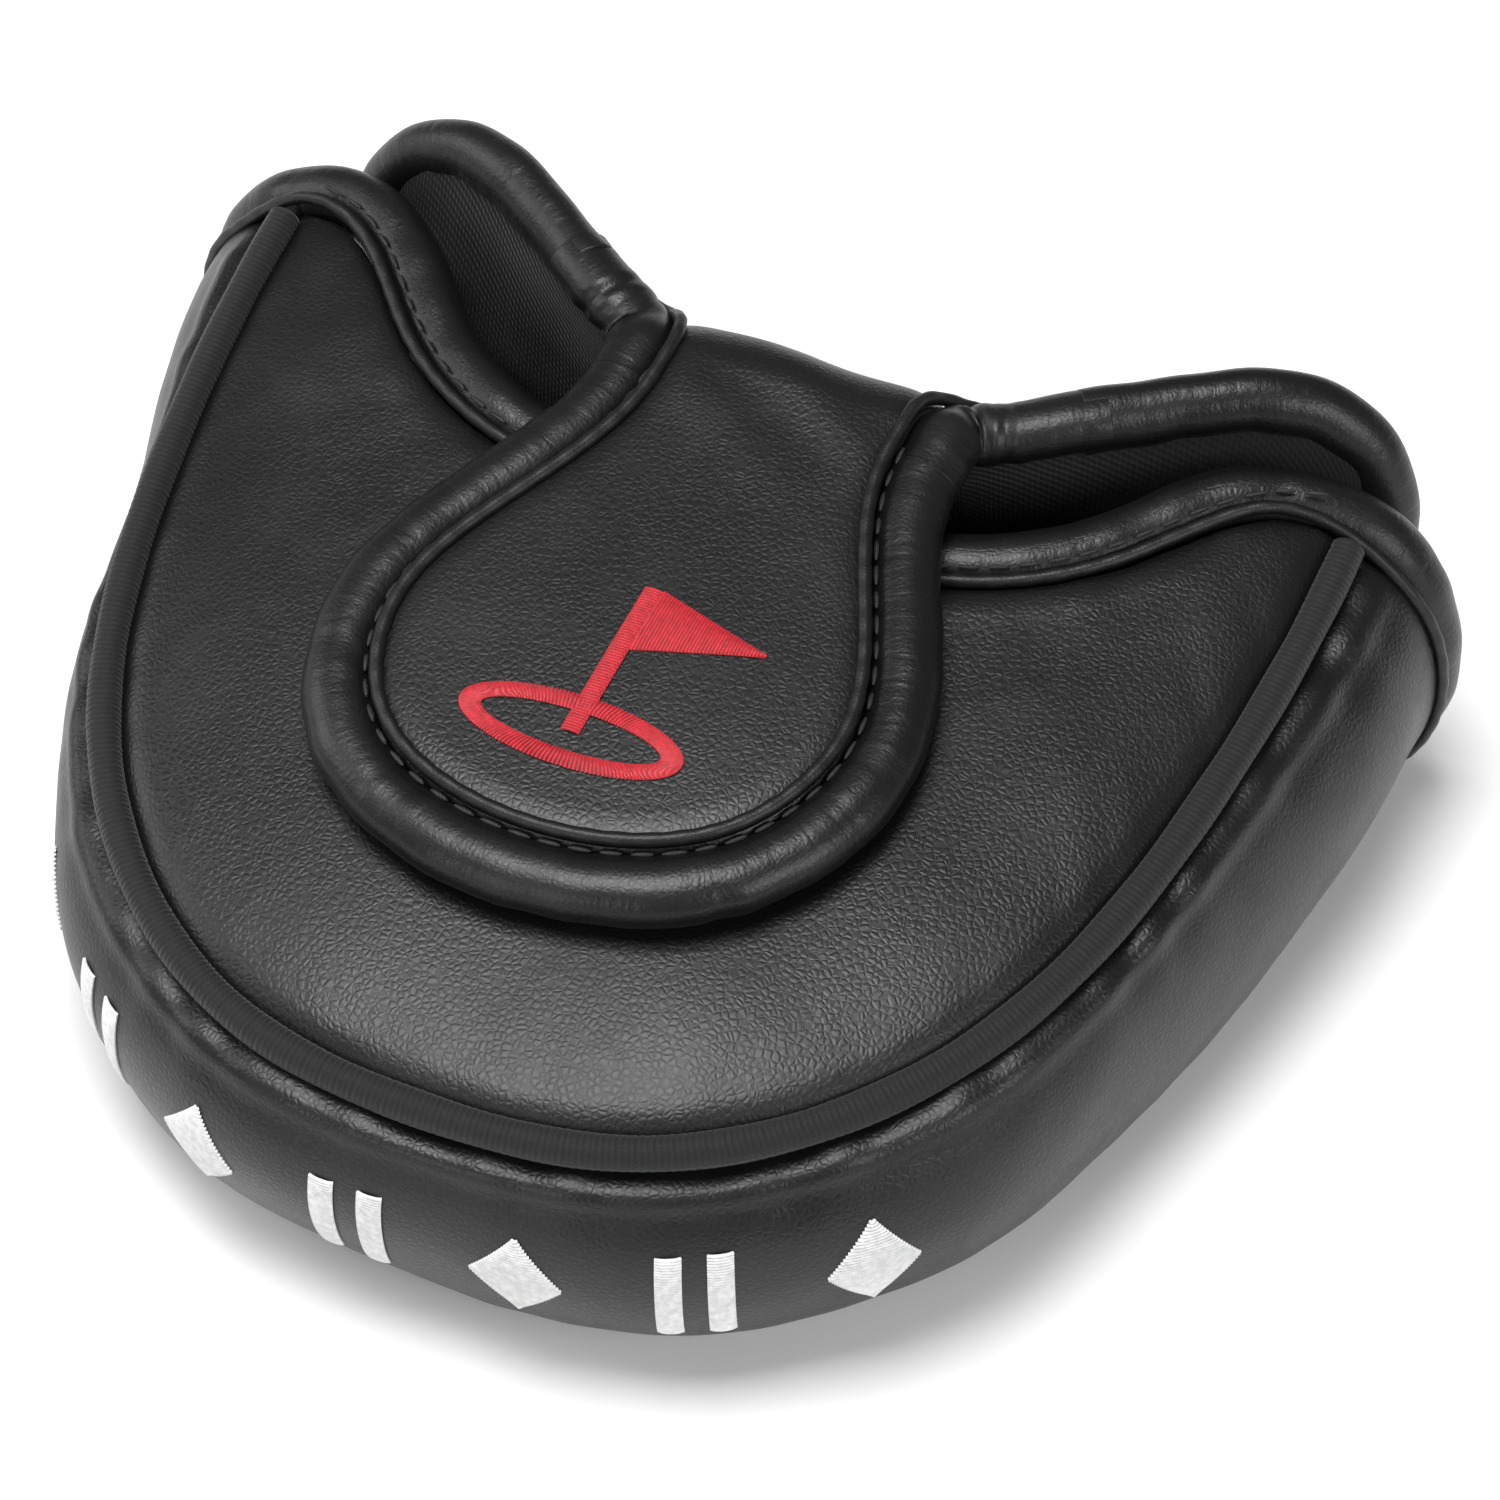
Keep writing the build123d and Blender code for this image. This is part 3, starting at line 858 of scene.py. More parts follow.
@dataclass(frozen=True)
class Thread:
    """Sewing or embroidery thread."""

    name: str
    dark: tuple
    light: tuple
    rough: float = 0.45
    sheen: float = 0.3

    def build(self) -> bpy.types.Material:
        """Make the material."""
        n = Nodes(self.name)
        at = n.place()
        shade = n.noise(at, 1400, 2)
        n.set(Base_Color=n.ramp(shade, [(0.3, self.dark), (0.7, self.light)]),
              Roughness=n.span(n.noise(at, 4200, 2), self.rough - 0.08, self.rough + 0.12),
              Sheen_Weight=self.sheen, Sheen_Roughness=0.4, Specular_IOR_Level=0.5)
        twist = n.add("ShaderNodeTexWave", {"Vector": at, "Scale": 2600, "Distortion": 1.5},
                      wave_type="BANDS", bands_direction="DIAGONAL").outputs[1]
        n.bump([(twist, 0.00005, 0.5)])
        return n.material


@dataclass(frozen=True)
class Plated:
    """Bright plated metal of the hidden magnets."""

    name: str = "plated_magnet"

    def build(self) -> bpy.types.Material:
        """Make the material."""
        n = Nodes(self.name)
        scuff = n.noise(n.place(), 700, 4)
        n.set(Base_Color=n.ramp(scuff, [(0.3, (0.5, 0.5, 0.5)), (0.7, (0.68, 0.68, 0.67))]),
              Metallic=1.0, Roughness=n.span(scuff, 0.18, 0.36))
        n.bump([(scuff, 0.00003, 0.3)])
        return n.material


@dataclass(frozen=True)
class Paper:
    """Pale studio floor."""

    name: str = "studio_floor"

    def build(self) -> bpy.types.Material:
        """Make the material."""
        n = Nodes(self.name)
        n.set(Base_Color=(0.93, 0.93, 0.93, 1), Roughness=0.85, Specular_IOR_Level=0.2)
        return n.material


# --- geometry node trees ------------------------------------------------------
class GeometryTree:
    """Geometry node tree with named inputs that ends in real, painted geometry."""

    def __init__(self, name: str, **sockets: str) -> None:
        """Start the tree.

        Args:
            name: Name of the tree.
            sockets: Input names, with underscores for spaces, and their kinds.
        """
        self.tree = bpy.data.node_groups.new(name, "GeometryNodeTree")
        face = self.tree.interface
        face.new_socket("Geometry", in_out="INPUT", socket_type="NodeSocketGeometry")
        self.sockets = {key: face.new_socket(key.replace("_", " "), in_out="INPUT",
                                             socket_type=f"NodeSocket{kind}")
                        for key, kind in sockets.items()}
        face.new_socket("Geometry", in_out="OUTPUT", socket_type="NodeSocketGeometry")
        self.given = self.tree.nodes.new("NodeGroupInput")
        self.order = {key: place + 1 for place, key in enumerate(sockets)}

    def value(self, key: str) -> bpy.types.NodeSocket:
        """Socket that gives one of the tree's inputs."""
        return self.given.outputs[self.order[key]]

    def add(self, kind: str, inputs: dict | None = None, **settings) -> bpy.types.Node:
        """New node with its settings and inputs.

        Args:
            kind: Blender's node type.
            inputs: Socket name or number to a value or another socket.
            settings: Properties of the node.

        Returns:
            The node.
        """
        node = self.tree.nodes.new(kind)
        for key, value in settings.items():
            setattr(node, key, value)
        for key, value in (inputs or {}).items():
            if isinstance(value, bpy.types.NodeSocket):
                self.tree.links.new(value, node.inputs[key])
            else:
                node.inputs[key].default_value = value
        return node

    def close(self, geometry: bpy.types.NodeSocket) -> None:
        """Make the geometry real, smooth and painted, and give it out.

        Args:
            geometry: Socket of the tree's last geometry.
        """
        real = self.add("GeometryNodeRealizeInstances", {0: geometry})
        soft = self.add("GeometryNodeSetShadeSmooth", {0: real.outputs[0]})
        paint = self.add("GeometryNodeSetMaterial",
                         {0: soft.outputs[0], "Material": self.value("Material")})
        self.add("NodeGroupOutput", {0: paint.outputs[0]})


class StitchTree(GeometryTree):
    """Lays stitches of one size along a line."""

    def __init__(self) -> None:
        """Build the node tree and its inputs."""
        super().__init__("stitch_run", Pitch="Float", Stitch_length="Float",
                         Thread_radius="Float", Unevenness="Float", Material="Material")
        line = self.add("GeometryNodeMeshToCurve", {0: self.given.outputs[0]})
        dots = self.add("GeometryNodeResampleCurve", mode="LENGTH")
        self.tree.links.new(line.outputs[0], dots.inputs["Curve"])
        self.tree.links.new(self.value("Pitch"), dots.inputs["Length"])
        bead = self.add("GeometryNodeMeshUVSphere", {"Segments": 8, "Rings": 6, "Radius": 1.0})
        run = self.add("GeometryNodeInputTangent")
        turn = self.add("FunctionNodeAlignRotationToVector", {"Vector": run.outputs[0]}, axis="Z")
        half = self.add("ShaderNodeMath", {0: self.value("Stitch_length"), 1: 0.5},
                        operation="MULTIPLY")
        low = self.add("ShaderNodeMath", {0: 1.0, 1: self.value("Unevenness")},
                       operation="SUBTRACT")
        vary = self.add("FunctionNodeRandomValue", data_type="FLOAT")
        vary.inputs["Seed"].default_value = SEED
        vary.inputs[3].default_value = 1.0
        self.tree.links.new(low.outputs[0], vary.inputs[2])
        scaled = self.add("ShaderNodeMath", {0: half.outputs[0], 1: vary.outputs[1]},
                          operation="MULTIPLY")
        radius = self.value("Thread_radius")
        size = self.add("ShaderNodeCombineXYZ", {0: radius, 1: radius, 2: scaled.outputs[0]})
        place = self.add("GeometryNodeInstanceOnPoints", {
            "Points": dots.outputs[0], "Instance": bead.outputs[0],
            "Rotation": turn.outputs[0], "Scale": size.outputs[0]})
        self.close(place.outputs[0])

    def run(self, obj: bpy.types.Object, pitch: float, length: float, radius: float,
            material: bpy.types.Material) -> bpy.types.Object:
        """Turn an edge-only object into stitches.

        Args:
            obj: Object with the seam's line.
            pitch: Distance from stitch to stitch, in metres.
            length: Length of a stitch, in metres.
            radius: Radius of the thread, in metres.
            material: Material of the thread.

        Returns:
            The same object.
        """
        return apply_tree(obj, self, material, Pitch=pitch, Stitch_length=length,
                          Thread_radius=radius, Unevenness=0.18)


class ThreadTree(GeometryTree):
    """Gives every loose line of an object the thickness of a thread."""

    def __init__(self) -> None:
        """Build the node tree and its inputs."""
        super().__init__("satin_threads", Thread_radius="Float", Material="Material")
        line = self.add("GeometryNodeMeshToCurve", {0: self.given.outputs[0]})
        ring = self.add("GeometryNodeCurvePrimitiveCircle",
                        {"Resolution": 6, "Radius": self.value("Thread_radius")})
        skin = self.add("GeometryNodeCurveToMesh", {
            "Curve": line.outputs[0], "Profile Curve": ring.outputs[0], "Fill Caps": True})
        self.close(skin.outputs[0])

    def run(self, obj: bpy.types.Object, radius: float,
            material: bpy.types.Material) -> bpy.types.Object:
        """Turn an edge-only object into threads.

        Args:
            obj: Object with a line for each thread.
            radius: Radius of the thread, in metres.
            material: Material of the thread.

        Returns:
            The same object.
        """
        return apply_tree(obj, self, material, Thread_radius=radius)


def apply_tree(obj: bpy.types.Object, tree: GeometryTree, material: bpy.types.Material,
               **values: float) -> bpy.types.Object:
    """Run a node tree on an object and keep the result as its plain mesh.

    Args:
        obj: Object to change.
        tree: Geometry node tree.
        material: Material of the result.
        values: The tree's other inputs.

    Returns:
        The same object with its new mesh.
    """
    modifier = obj.modifiers.new("build", "NODES")
    modifier.node_group = tree.tree
    for key, value in {**values, "Material": material}.items():
        modifier[tree.sockets[key].identifier] = value
    bpy.context.view_layer.update()
    done = bpy.data.meshes.new_from_object(
        obj.evaluated_get(bpy.context.evaluated_depsgraph_get()))
    obj.modifiers.clear()
    obj.data = done
    done.materials.clear()
    done.materials.append(material)
    return obj


# --- the cover ----------------------------------------------------------------
class Kit:
    """Materials, trees and the workshop that every sub-assembly uses."""

    def __init__(self) -> None:
        """Make the shared materials and trees."""
        self.shop = Workshop()
        self.stitches = StitchTree()
        self.threads = ThreadTree()
        self.leather = Leather().build()
        self.roll = Leather(name="binding_leather", dark=(0.0035, 0.0035, 0.004),
                            light=(0.0065, 0.0065, 0.007), grain=1600, grain_depth=0.00003,
                            gloss=(0.33, 0.43), wrinkle=0.16).build()
        self.cord = Leather(name="welt_leather", dark=(0.0035, 0.0035, 0.004),
                            light=(0.0065, 0.0065, 0.007), grain=1900, grain_depth=0.00003,
                            gloss=(0.4, 0.52)).build()
        self.piping = Ribbed().build()
        self.lining = Twill().build()
        self.black = Thread("black_thread", (0.004, 0.004, 0.0045), (0.014, 0.014, 0.015), 0.5,
                            0.1).build()
        self.red = Thread("red_thread", (0.36, 0.003, 0.010), (0.56, 0.008, 0.022), 0.38,
                          0.35).build()
        self.white = Thread("white_thread", (0.66, 0.66, 0.66), (0.86, 0.86, 0.86), 0.4,
                            0.35).build()
        self.metal = Plated().build()

    def finish(self, obj: bpy.types.Object, material: bpy.types.Material, slot: Slot,
               body: Body | None, replaces: Sequence[str] = ()) -> bpy.types.Object:
        """Dress a piece and set it on its body.

        Args:
            obj: The piece.
            material: Its material.
            slot: Not used.
            body: Body it moves with, or None for a piece that lies across two bodies and is set on
                neither.
            replaces: CAD nodes that it stands for.

        Returns:
            The piece.
        """
        obj.data.materials.clear()
        obj.data.materials.append(material)
        if replaces:
            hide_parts(*replaces)
        if body is not None:
            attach(obj, body.value)
        LOG.info("%s on %s: %d faces", obj.name, body.value if body else "two bodies",
                 len(obj.data.polygons))
        return obj

    def edges(self, name: str, lines: Sequence[np.ndarray]) -> bpy.types.Object:
        """Object of loose lines only.

        Args:
            name: Piece name.
            lines: Line samples, one array a line.

        Returns:
            The object.
        """
        points: list = []
        pairs: list = []
        for line in lines:
            first = len(points)
            points.extend(self.shop.place(line).tolist())
            pairs.extend((first + k, first + k + 1) for k in range(len(line) - 1))
        data = bpy.data.meshes.new(name)
        data.from_pydata(points, pairs, [])
        obj = bpy.data.objects.new(name, data)
        bpy.context.scene.collection.objects.link(obj)
        return obj

    def seam(self, name: str, line: np.ndarray, body: Body, pitch: float = 3.1,
             length: float = 2.6, radius: float = 0.26) -> bpy.types.Object:
        """Row of black stitches along a line."""
        obj = self.edges(name, [line])
        self.stitches.run(obj, pitch * MM, length * MM, radius * MM, self.black)
        return self.finish(obj, self.black, Slot.CORD, body)


@dataclass
class Pouch:
    """Body of the cover: bottom, gusset, top panel, piping and lip."""

    kit: Kit
    round_count: int = 300
    pocket_inset: float = 4.8
    left_pull: float = 2.4
    crown: float = 3.2
    crown_rim: float = 1.6
    side_wave: float = 0.45
    side_pucker: float = 0.16
    seam_ridge: float = 0.9
    top_wave: float = 0.16
    top_pucker: float = 0.05
    lip_wave: float = 0.14

    def build(self) -> None:
        """Make every piece of the pouch."""
        self.gusset()
        self.bottom()
        self.top_panel()
        self.piping()
        self.lip()
        self.linings()

    def gusset_surface(self) -> tuple[np.ndarray, np.ndarray]:
        """Outside of the gusset with its puckers, and the share of each row."""
        turn = np.linspace(0, math.pi, 44)
        share = 0.5 - 0.5 * np.cos(turn)
        grid = P.gusset(share, 0.0, self.round_count)
        along = lengths(grid[22])
        out = np.cross(np.gradient(grid, axis=1), np.gradient(grid, axis=0))
        out[0], out[-1] = out[1], out[-2]
        out /= np.linalg.norm(out, axis=2)[..., None]
        wobble = Ripple(5, 34)(grid)
        fine = Ripple(9, 13)(grid)
        beat = (np.sin(along * 2 * math.pi / 10.5 + 1.3 * np.sin(along * 0.11))
                + 0.6 * np.sin(along * 2 * math.pi / 7.3 + 2.0))
        near_top = np.exp(-((1 - share) / 0.10) ** 1.2)[:, None]
        near_low = np.exp(-(share / 0.12) ** 1.2)[:, None]
        pucker = self.side_pucker * beat[None] * (near_top + near_low)
        lift = self.side_wave * wobble + 0.12 * fine * (near_top + near_low + 0.4) + pucker
        ridge = self.seam_ridge * np.exp(-((share - 0.965) / 0.03) ** 2)[:, None]
        ends = np.clip(np.minimum(along, along[-1] - along) / 6, 0, 1)[None]
        moved = grid + out * ((lift + ridge) * ends)[..., None]
        bulge = np.sqrt(np.clip(1 - (2 * share - 1) ** 2, 0, 1))[:, None]
        pull = self.left_pull * (np.clip(-moved[..., 0], 0, None) / P.belly_half) ** 2 * bulge
        moved[..., 0] += pull * np.clip((P.mouth_y - 6 - moved[..., 1]) / 25, 0, 1)
        return moved, share

    def gusset(self) -> None:
        """Bulging side band."""
        outer, _ = self.gusset_surface()
        turn = np.linspace(math.pi, 0, 20)
        inner = P.gusset(0.5 - 0.5 * np.cos(turn), self.pocket_inset - 0.8, self.round_count)
        inner[0, :, 2] -= 0.3
        inner[-1, :, 2] += 0.3
        rings = np.concatenate([outer, inner]).transpose(1, 0, 2)
        obj = self.kit.shop.tube("gusset", rings)
        self.kit.finish(obj, self.kit.leather, Slot.LEATHER, Body.POUCH,
                        ["gusset_skin", "gusset_foam"])

    def bottom(self) -> None:
        """Padded bottom panel."""
        outer = P.d_line(P.foot_half - 1.5, P.foot_length - 1.5, 200)
        back = np.stack([np.linspace(outer[0, 0], outer[-1, 0], 200),
                         np.full(200, P.foot_y - 0.4)], axis=1)
        t = (0.5 - 0.5 * np.cos(np.linspace(0, math.pi, 60)))[:, None, None]
        plan = outer[None] * (1 - t) + back[None] * t
        edge = nearest(plan, np.vstack([outer, back]))
        low = 0.9 * (1 - quarter(edge / 4.0))
        lower = np.concatenate([plan, low[..., None]], axis=2)
        upper = np.concatenate([plan, np.full_like(low, 3.0)[..., None]], axis=2)
        obj = self.kit.shop.pad("bottom_panel", upper, lower)
        self.kit.finish(obj, self.kit.leather, Slot.LEATHER, Body.POUCH,
                        ["bottom_skin", "bottom_foam"])

    def top_panel(self) -> None:
        """Crowned top panel with its curved opening edge."""
        outer = P.d_line(P.seam_half - 1.3, P.seam_length - 1.3, 260)
        inner = P.lip_line(260)
        t = (0.5 - 0.5 * np.cos(np.linspace(0, math.pi, 96)))[:, None, None]
        plan = outer[None] * (1 - t) + inner[None] * t
        rim = nearest(plan, P.d_line(P.seam_half - 1.3, P.seam_length - 1.3, 700))
        lip = nearest(plan, P.lip_line(500))
        rise = self.crown_rim * quarter(rim / 3.5) + self.crown * (1 - np.exp(-rim / 9.5))
        rise = rise * (0.72 + 0.28 * quarter(lip / 4.0))
        along = lengths(outer)[None]
        beat = np.sin(along * 2 * math.pi / 11 + 1.5 * np.sin(along * 0.09)) \
            + 0.5 * np.sin(along * 2 * math.pi / 6.7)
        rise = rise + self.top_pucker * beat * np.exp(-(rim / 4)) * quarter(rim / 2)
        rise = rise + self.top_wave * Ripple(21, 34)(plan) * quarter(rim / 9) * quarter(lip / 9)
        rise = rise + self.lip_wave * Ripple(22, 11)(plan) * np.exp(-lip / 8)
        upper = P.on_seam(plan, rise)
        lower = P.on_seam(plan, -0.05)
        obj = self.kit.shop.pad("top_panel", upper, lower)
        self.kit.finish(obj, self.kit.leather, Slot.LEATHER, Body.POUCH, ["top_skin", "top_foam"])

    def piping(self) -> None:
        """Ribbed piping in the top and bottom seams."""
        for name, node, half, length, z, tilt, radius, trim in (
                ("top_piping_cord", "top_piping", P.seam_half, P.seam_length, 40.1, P.fall, 2.0,
                 1.2),
                ("bottom_piping_cord", "bottom_piping", P.foot_half, P.foot_length, 1.5, 0.0, 1.5,
                 0.3)):
            plan = P.d_line(half, length, 1500)
            gone = lengths(plan)
            plan = plan[(gone > trim) & (gone < gone[-1] - trim)]
            y = plan[:, 1] - P.mouth_y
            line = np.stack([plan[:, 0], P.mouth_y + y * math.cos(tilt),
                             z + y * math.sin(tilt)], axis=1)
            gone = lengths(line)
            sides = 14
            radii = radius - 0.2 + 0.02 * np.cos(gone * 2 * math.pi / 0.95) + 0.04 * np.sin(gone * 0.4)
            rings = rings_along(line, radii, sides)
            obj = self.kit.shop.tube(name, rings, strip(line, 2 * math.pi * radius, sides))
            self.kit.finish(obj, self.kit.piping, Slot.PIPING, Body.POUCH, [node])

    def lip_paths(self) -> tuple[np.ndarray, np.ndarray]:
        """Centre lines of the lip's roll and cord."""
        plan = sideways(P.lip_line(600), P.lip_roll + 0.6)
        top = P.on_seam(plan, P.top_height - P.lip_roll + 0.5)
        half = []
        for share in (0.93, 0.75, 0.5, 0.25, 0.1):
            at = P.gusset(np.array([share]), 0, 3)[0, -1]
            half.append((at[0] - 2.6, P.gusset_end + P.lip_roll + 0.3, at[2]))
        keys = top[12:-12:24]
        line = spline(mirror_points(half) + [tuple(k) for k in keys] + half, 1300)
        cord = P.on_seam(sideways(P.lip_line(900), 0.6), 4.35)
        return line, cord

    def lip(self) -> None:
        """Rolled binding and cord round the mouth."""
        line, cord = self.lip_paths()
        sides = 26
        radii = Creases(3, 0.10, 6.0, 1.6).radius(line, P.lip_roll, sides)
        obj = self.kit.shop.tube("lip_roll", rings_along(line, radii, sides, (0, 1, 0)),
                                 strip(line, 20.0, sides, closed=True))
        self.kit.finish(obj, self.kit.roll, Slot.BINDING, Body.POUCH, ["lip_binding"])
        sides = 10
        down = []
        for side in (1, -1):
            rows = P.gusset(np.array([0.93, 0.8, 0.6, 0.4, 0.22, 0.1, 0.04]), -0.3, 3)[:, -1]
            down.append([(side * x, P.gusset_end + 0.2, z) for x, _, z in rows])
        keys = [tuple(k) for k in cord[::36]]
        full = spline(down[1][::-1] + keys + down[0], 1500)
        radii = 0.72 + 0.03 * np.sin(lengths(full) * 1.9)
        obj = self.kit.shop.tube("lip_welt", rings_along(full, radii, sides))
        self.kit.finish(obj, self.kit.cord, Slot.CORD, Body.POUCH, ["lip_cord"])
        stitch = P.on_seam(sideways(P.lip_line(400), 2.1), 4.75)
        self.kit.seam("lip_stitches", stitch, Body.POUCH)

    def linings(self) -> None:
        """Twill lining on the walls, floor and roof of the pocket."""
        turn = np.linspace(0.12, math.pi - 0.1, 24)
        share = 0.5 - 0.5 * np.cos(turn)
        outer = P.gusset(share, 4.05, 180)
        inner = P.gusset(share[::-1], 4.8, 180)
        rings = np.concatenate([outer, inner]).transpose(1, 0, 2)
        rings[..., 1] -= 0.1
        gone = lengths(outer[12])
        around = np.concatenate([lengths(outer[:, 90]), lengths(outer[:, 90])[::-1]])
        uv = np.stack(np.meshgrid(gone, around, indexing="ij"), axis=-1) * MM
        obj = self.kit.shop.tube("gusset_twill", rings, uv)
        self.kit.finish(obj, self.kit.lining, Slot.LINING, Body.POUCH, ["gusset_lining"])
        t = np.linspace(0, 1, 50)[:, None, None]
        plan_out = P.d_line(57.0, 92.0, 120)
        back = np.stack([np.linspace(plan_out[0, 0], plan_out[-1, 0], 120),
                         np.full(120, P.foot_y - 0.4)], axis=1)
        plan = plan_out[None] * (1 - t) + back[None] * t
        wave = 0.25 * Ripple(30, 22)(plan)
        upper = np.concatenate([plan, (3.75 + wave)[..., None]], axis=2)
        lower = np.concatenate([plan, np.full_like(wave, 3.05)[..., None]], axis=2)
        obj = self.kit.shop.pad("floor_twill", upper, lower)
        self.kit.finish(obj, self.kit.lining, Slot.LINING, Body.POUCH, ["bottom_lining"])
        outer_line = P.d_line(P.seam_half - 3, P.seam_length - 3, 160)
        plan = outer_line[None] * (1 - t) + P.lip_line(160)[None] * t
        upper = P.on_seam(plan, -0.1)
        lower = P.on_seam(plan, -0.75 + 0.15 * Ripple(31, 24)(plan))
        obj = self.kit.shop.pad("roof_twill", upper, lower)
        self.kit.finish(obj, self.kit.lining, Slot.LINING, Body.POUCH, ["top_lining"])


@dataclass
class RearWall:
    """Rear wall with its wings, rolls, cords, foot and fold."""

    kit: Kit
    columns: int = 220
    rows: int = 70

    def outline(self, count: int) -> np.ndarray:
        """Upper outline from the left foot over both wings to the right foot.

        Args:
            count: Number of samples.

        Returns:
            Line samples.
        """
        corner = P.wing_half - P.wing_round * 0.3
        right = spline([(P.wall_foot, P.wall_base), (P.wing_half, 0.55 * P.wing_top),
                        (corner, P.wing_top - P.wing_round * 0.35),
                        (P.wing_half - P.wing_round, P.wing_top)], 200)
        step = np.array([(30, P.wing_top), (24, P.wing_top - 0.4), (20.5, P.wing_top - 2.2),
                         (18.6, 40.5), (16, 38.9)])
        half = np.vstack([right, step])
        whole = np.vstack([half * (-1, 1), half[::-1]])
        return even(whole, count)

    def build(self) -> None:
        """Make every piece of the rear wall."""
        self.panel()
        self.wings()
        self.foot()
        self.fold()

    def panel(self) -> None:
        """Padded panel and its twill lining."""
        top = self.outline(self.columns)
        foot_x = np.clip(top[:, 0], -P.wall_foot, P.wall_foot)
        foot = np.stack([foot_x, np.full(self.columns, P.wall_base)], axis=1)
        t = np.linspace(0, 1, self.rows)[:, None, None]
        plan = foot[None] * (1 - t) + top[None] * t
        edge = nearest(plan, self.outline(700))
        puff = 0.9 * (1 - np.exp(-edge / 9)) - 0.9 + 1.1 * quarter(edge / 5)
        wave = 0.5 * Ripple(51, 36)(plan) * quarter(edge / 12)
        pinch = np.exp(-(((np.abs(plan[..., 0]) - 21) / 5) ** 2 + ((plan[..., 1] - 40) / 7) ** 2))
        fine = 0.35 * Ripple(52, 7)(plan) * pinch
        outer = P.wall(plan[..., 0], plan[..., 1], P.thick - 0.3 + puff + wave + fine - 1.0 * pinch)
        inner = P.wall(plan[..., 0], plan[..., 1], 0.9)
        obj = self.kit.shop.pad("rear_panel", outer, inner)
        self.kit.finish(obj, self.kit.leather, Slot.LEATHER, Body.WALL, ["wall_skin", "wall_foam"])
        slack = 0.25 * Ripple(53, 20)(plan) * quarter(edge / 10)
        face = P.wall(plan[..., 0], plan[..., 1], 0.0 - slack)
        rear = P.wall(plan[..., 0], plan[..., 1], 0.85)
        obj = self.kit.shop.pad("rear_twill", face, rear)
        self.kit.finish(obj, self.kit.lining, Slot.LINING, Body.WALL, ["wall_lining"])

    def wings(self) -> None:
        """Rolls, cords and stitches along both wings."""
        corner = P.wing_half - P.wing_round * 0.3
        keys = [(P.wall_foot, P.wall_base + 0.2), (P.wing_half, 0.55 * P.wing_top),
                (corner, P.wing_top - P.wing_round * 0.35), (P.wing_half - P.wing_round, P.wing_top),
                (36, P.wing_top), (29, P.wing_top - 0.1)]
        plan = spline(keys, 420)
        for side, label in ((1, "right"), (-1, "left")):
            line = P.wall(plan[:, 0] * side, plan[:, 1], P.thick / 2)
            self.roll(f"wing_roll_{label}", line, Creases(11 + side, 0.10, 7.0, 1.8),
                      lambda at: 1.0, Body.WALL, [f"wall_binding_{label}"])
            inset = sideways(plan, 2.9)
            cord = P.wall(inset[:, 0] * side, inset[:, 1], P.thick + 1.0)
            rings = rings_along(cord, P.welt + 0.03 * np.sin(lengths(cord) * 2.1), 10)
            obj = self.kit.shop.tube(f"wing_welt_{label}", rings)
            self.kit.finish(obj, self.kit.cord, Slot.CORD, Body.WALL, [f"wall_cord_{label}"])
            inset = sideways(plan, 4.6)
            self.kit.seam(f"wing_stitches_{label}",
                          P.wall(inset[:, 0] * side, inset[:, 1], P.thick + 0.5), Body.WALL)

    def foot(self) -> None:
        """Soft strip that joins the bottom panel to the rear wall."""
        half = P.wall_foot - 2.2
        turn = np.linspace(0, math.pi / 2, 12)
        depth = P.thick / math.cos(P.lean)
        section = [(P.foot_y - 0.6, 0.35)]
        section += [(P.foot_y + depth - 4 + 4 * math.sin(a), 4.15 - 4 * math.cos(a)) for a in turn]
        section += [(P.foot_y + depth - 0.2, P.wall_base + 1.0), (P.foot_y + 0.6, P.wall_base + 1.0),
                    (P.foot_y + 0.1, 3.2), (P.foot_y - 0.6, 2.8)]
        section = even(np.array(section + section[:1]), 41)[:-1]
        xs = np.linspace(-half, half, 90)
        rings = np.stack([np.column_stack([np.full(len(section), x), section]) for x in xs])
        rings[..., 1] += 0.18 * Ripple(61, 14)(rings)
        obj = self.kit.shop.tube("foot_strip", rings)
        self.kit.finish(obj, self.kit.leather, Slot.LEATHER, None, ["foot_fold"])
        ends = self.kit.shop.place(np.array([(0, P.foot_y + 1, 0.8), (0, P.foot_y + 3, 5.6)]))
        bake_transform(obj)

    def fold(self) -> None:
        """Rolls and welts that run from the flap over the fold into the wings."""
        mid = P.inner + P.thick / 2
        arc = P.bend * mid
        neck = P.neck_half - P.roll_in
        for side, label in ((1, "right"), (-1, "left")):
            flat = [(neck, run, mid) for run in (-P.stub - 1.2, -1.0)]
            flat += [(neck + 0.15, 0.3 * arc, mid), (neck + 0.9, 0.62 * arc, mid + 0.2)]
            keys = [P.round_fold(np.array(side * x), np.array(r), np.array(v)) for x, r, v in flat]
            for x, z in ((21.8, 45.1), (26.5, 45.9), (31.0, P.wing_top)):
                keys.append(P.wall(np.array(side * x), np.array(z), P.thick / 2))
            line = spline(keys, 260)
            pinch = P.round_fold(np.array(side * (neck + 2.5)), np.array(0.8 * arc), np.array(mid))
            self.roll(f"fold_roll_{label}", line, Creases(81 + side, 0.4, 2.0, 0.8),
                      lambda at, spot=pinch: 0.12 + 1.2 * math.exp(
                          -(np.linalg.norm(at - spot) / 5.5) ** 2),
                      None, [f"fold_binding_{label}"])
            edge = P.neck_half - P.welt_in
            high = P.inner + P.thick + 0.25
            keys = [P.round_fold(np.array(side * x), np.array(r), np.array(v)) for x, r, v in (
                (edge, -P.stub - 1.6, high), (edge, 0.0, high), (edge + 0.3, 0.3 * arc, high + 0.1),
                (edge + 1.6, 0.6 * arc, high + 0.1))]
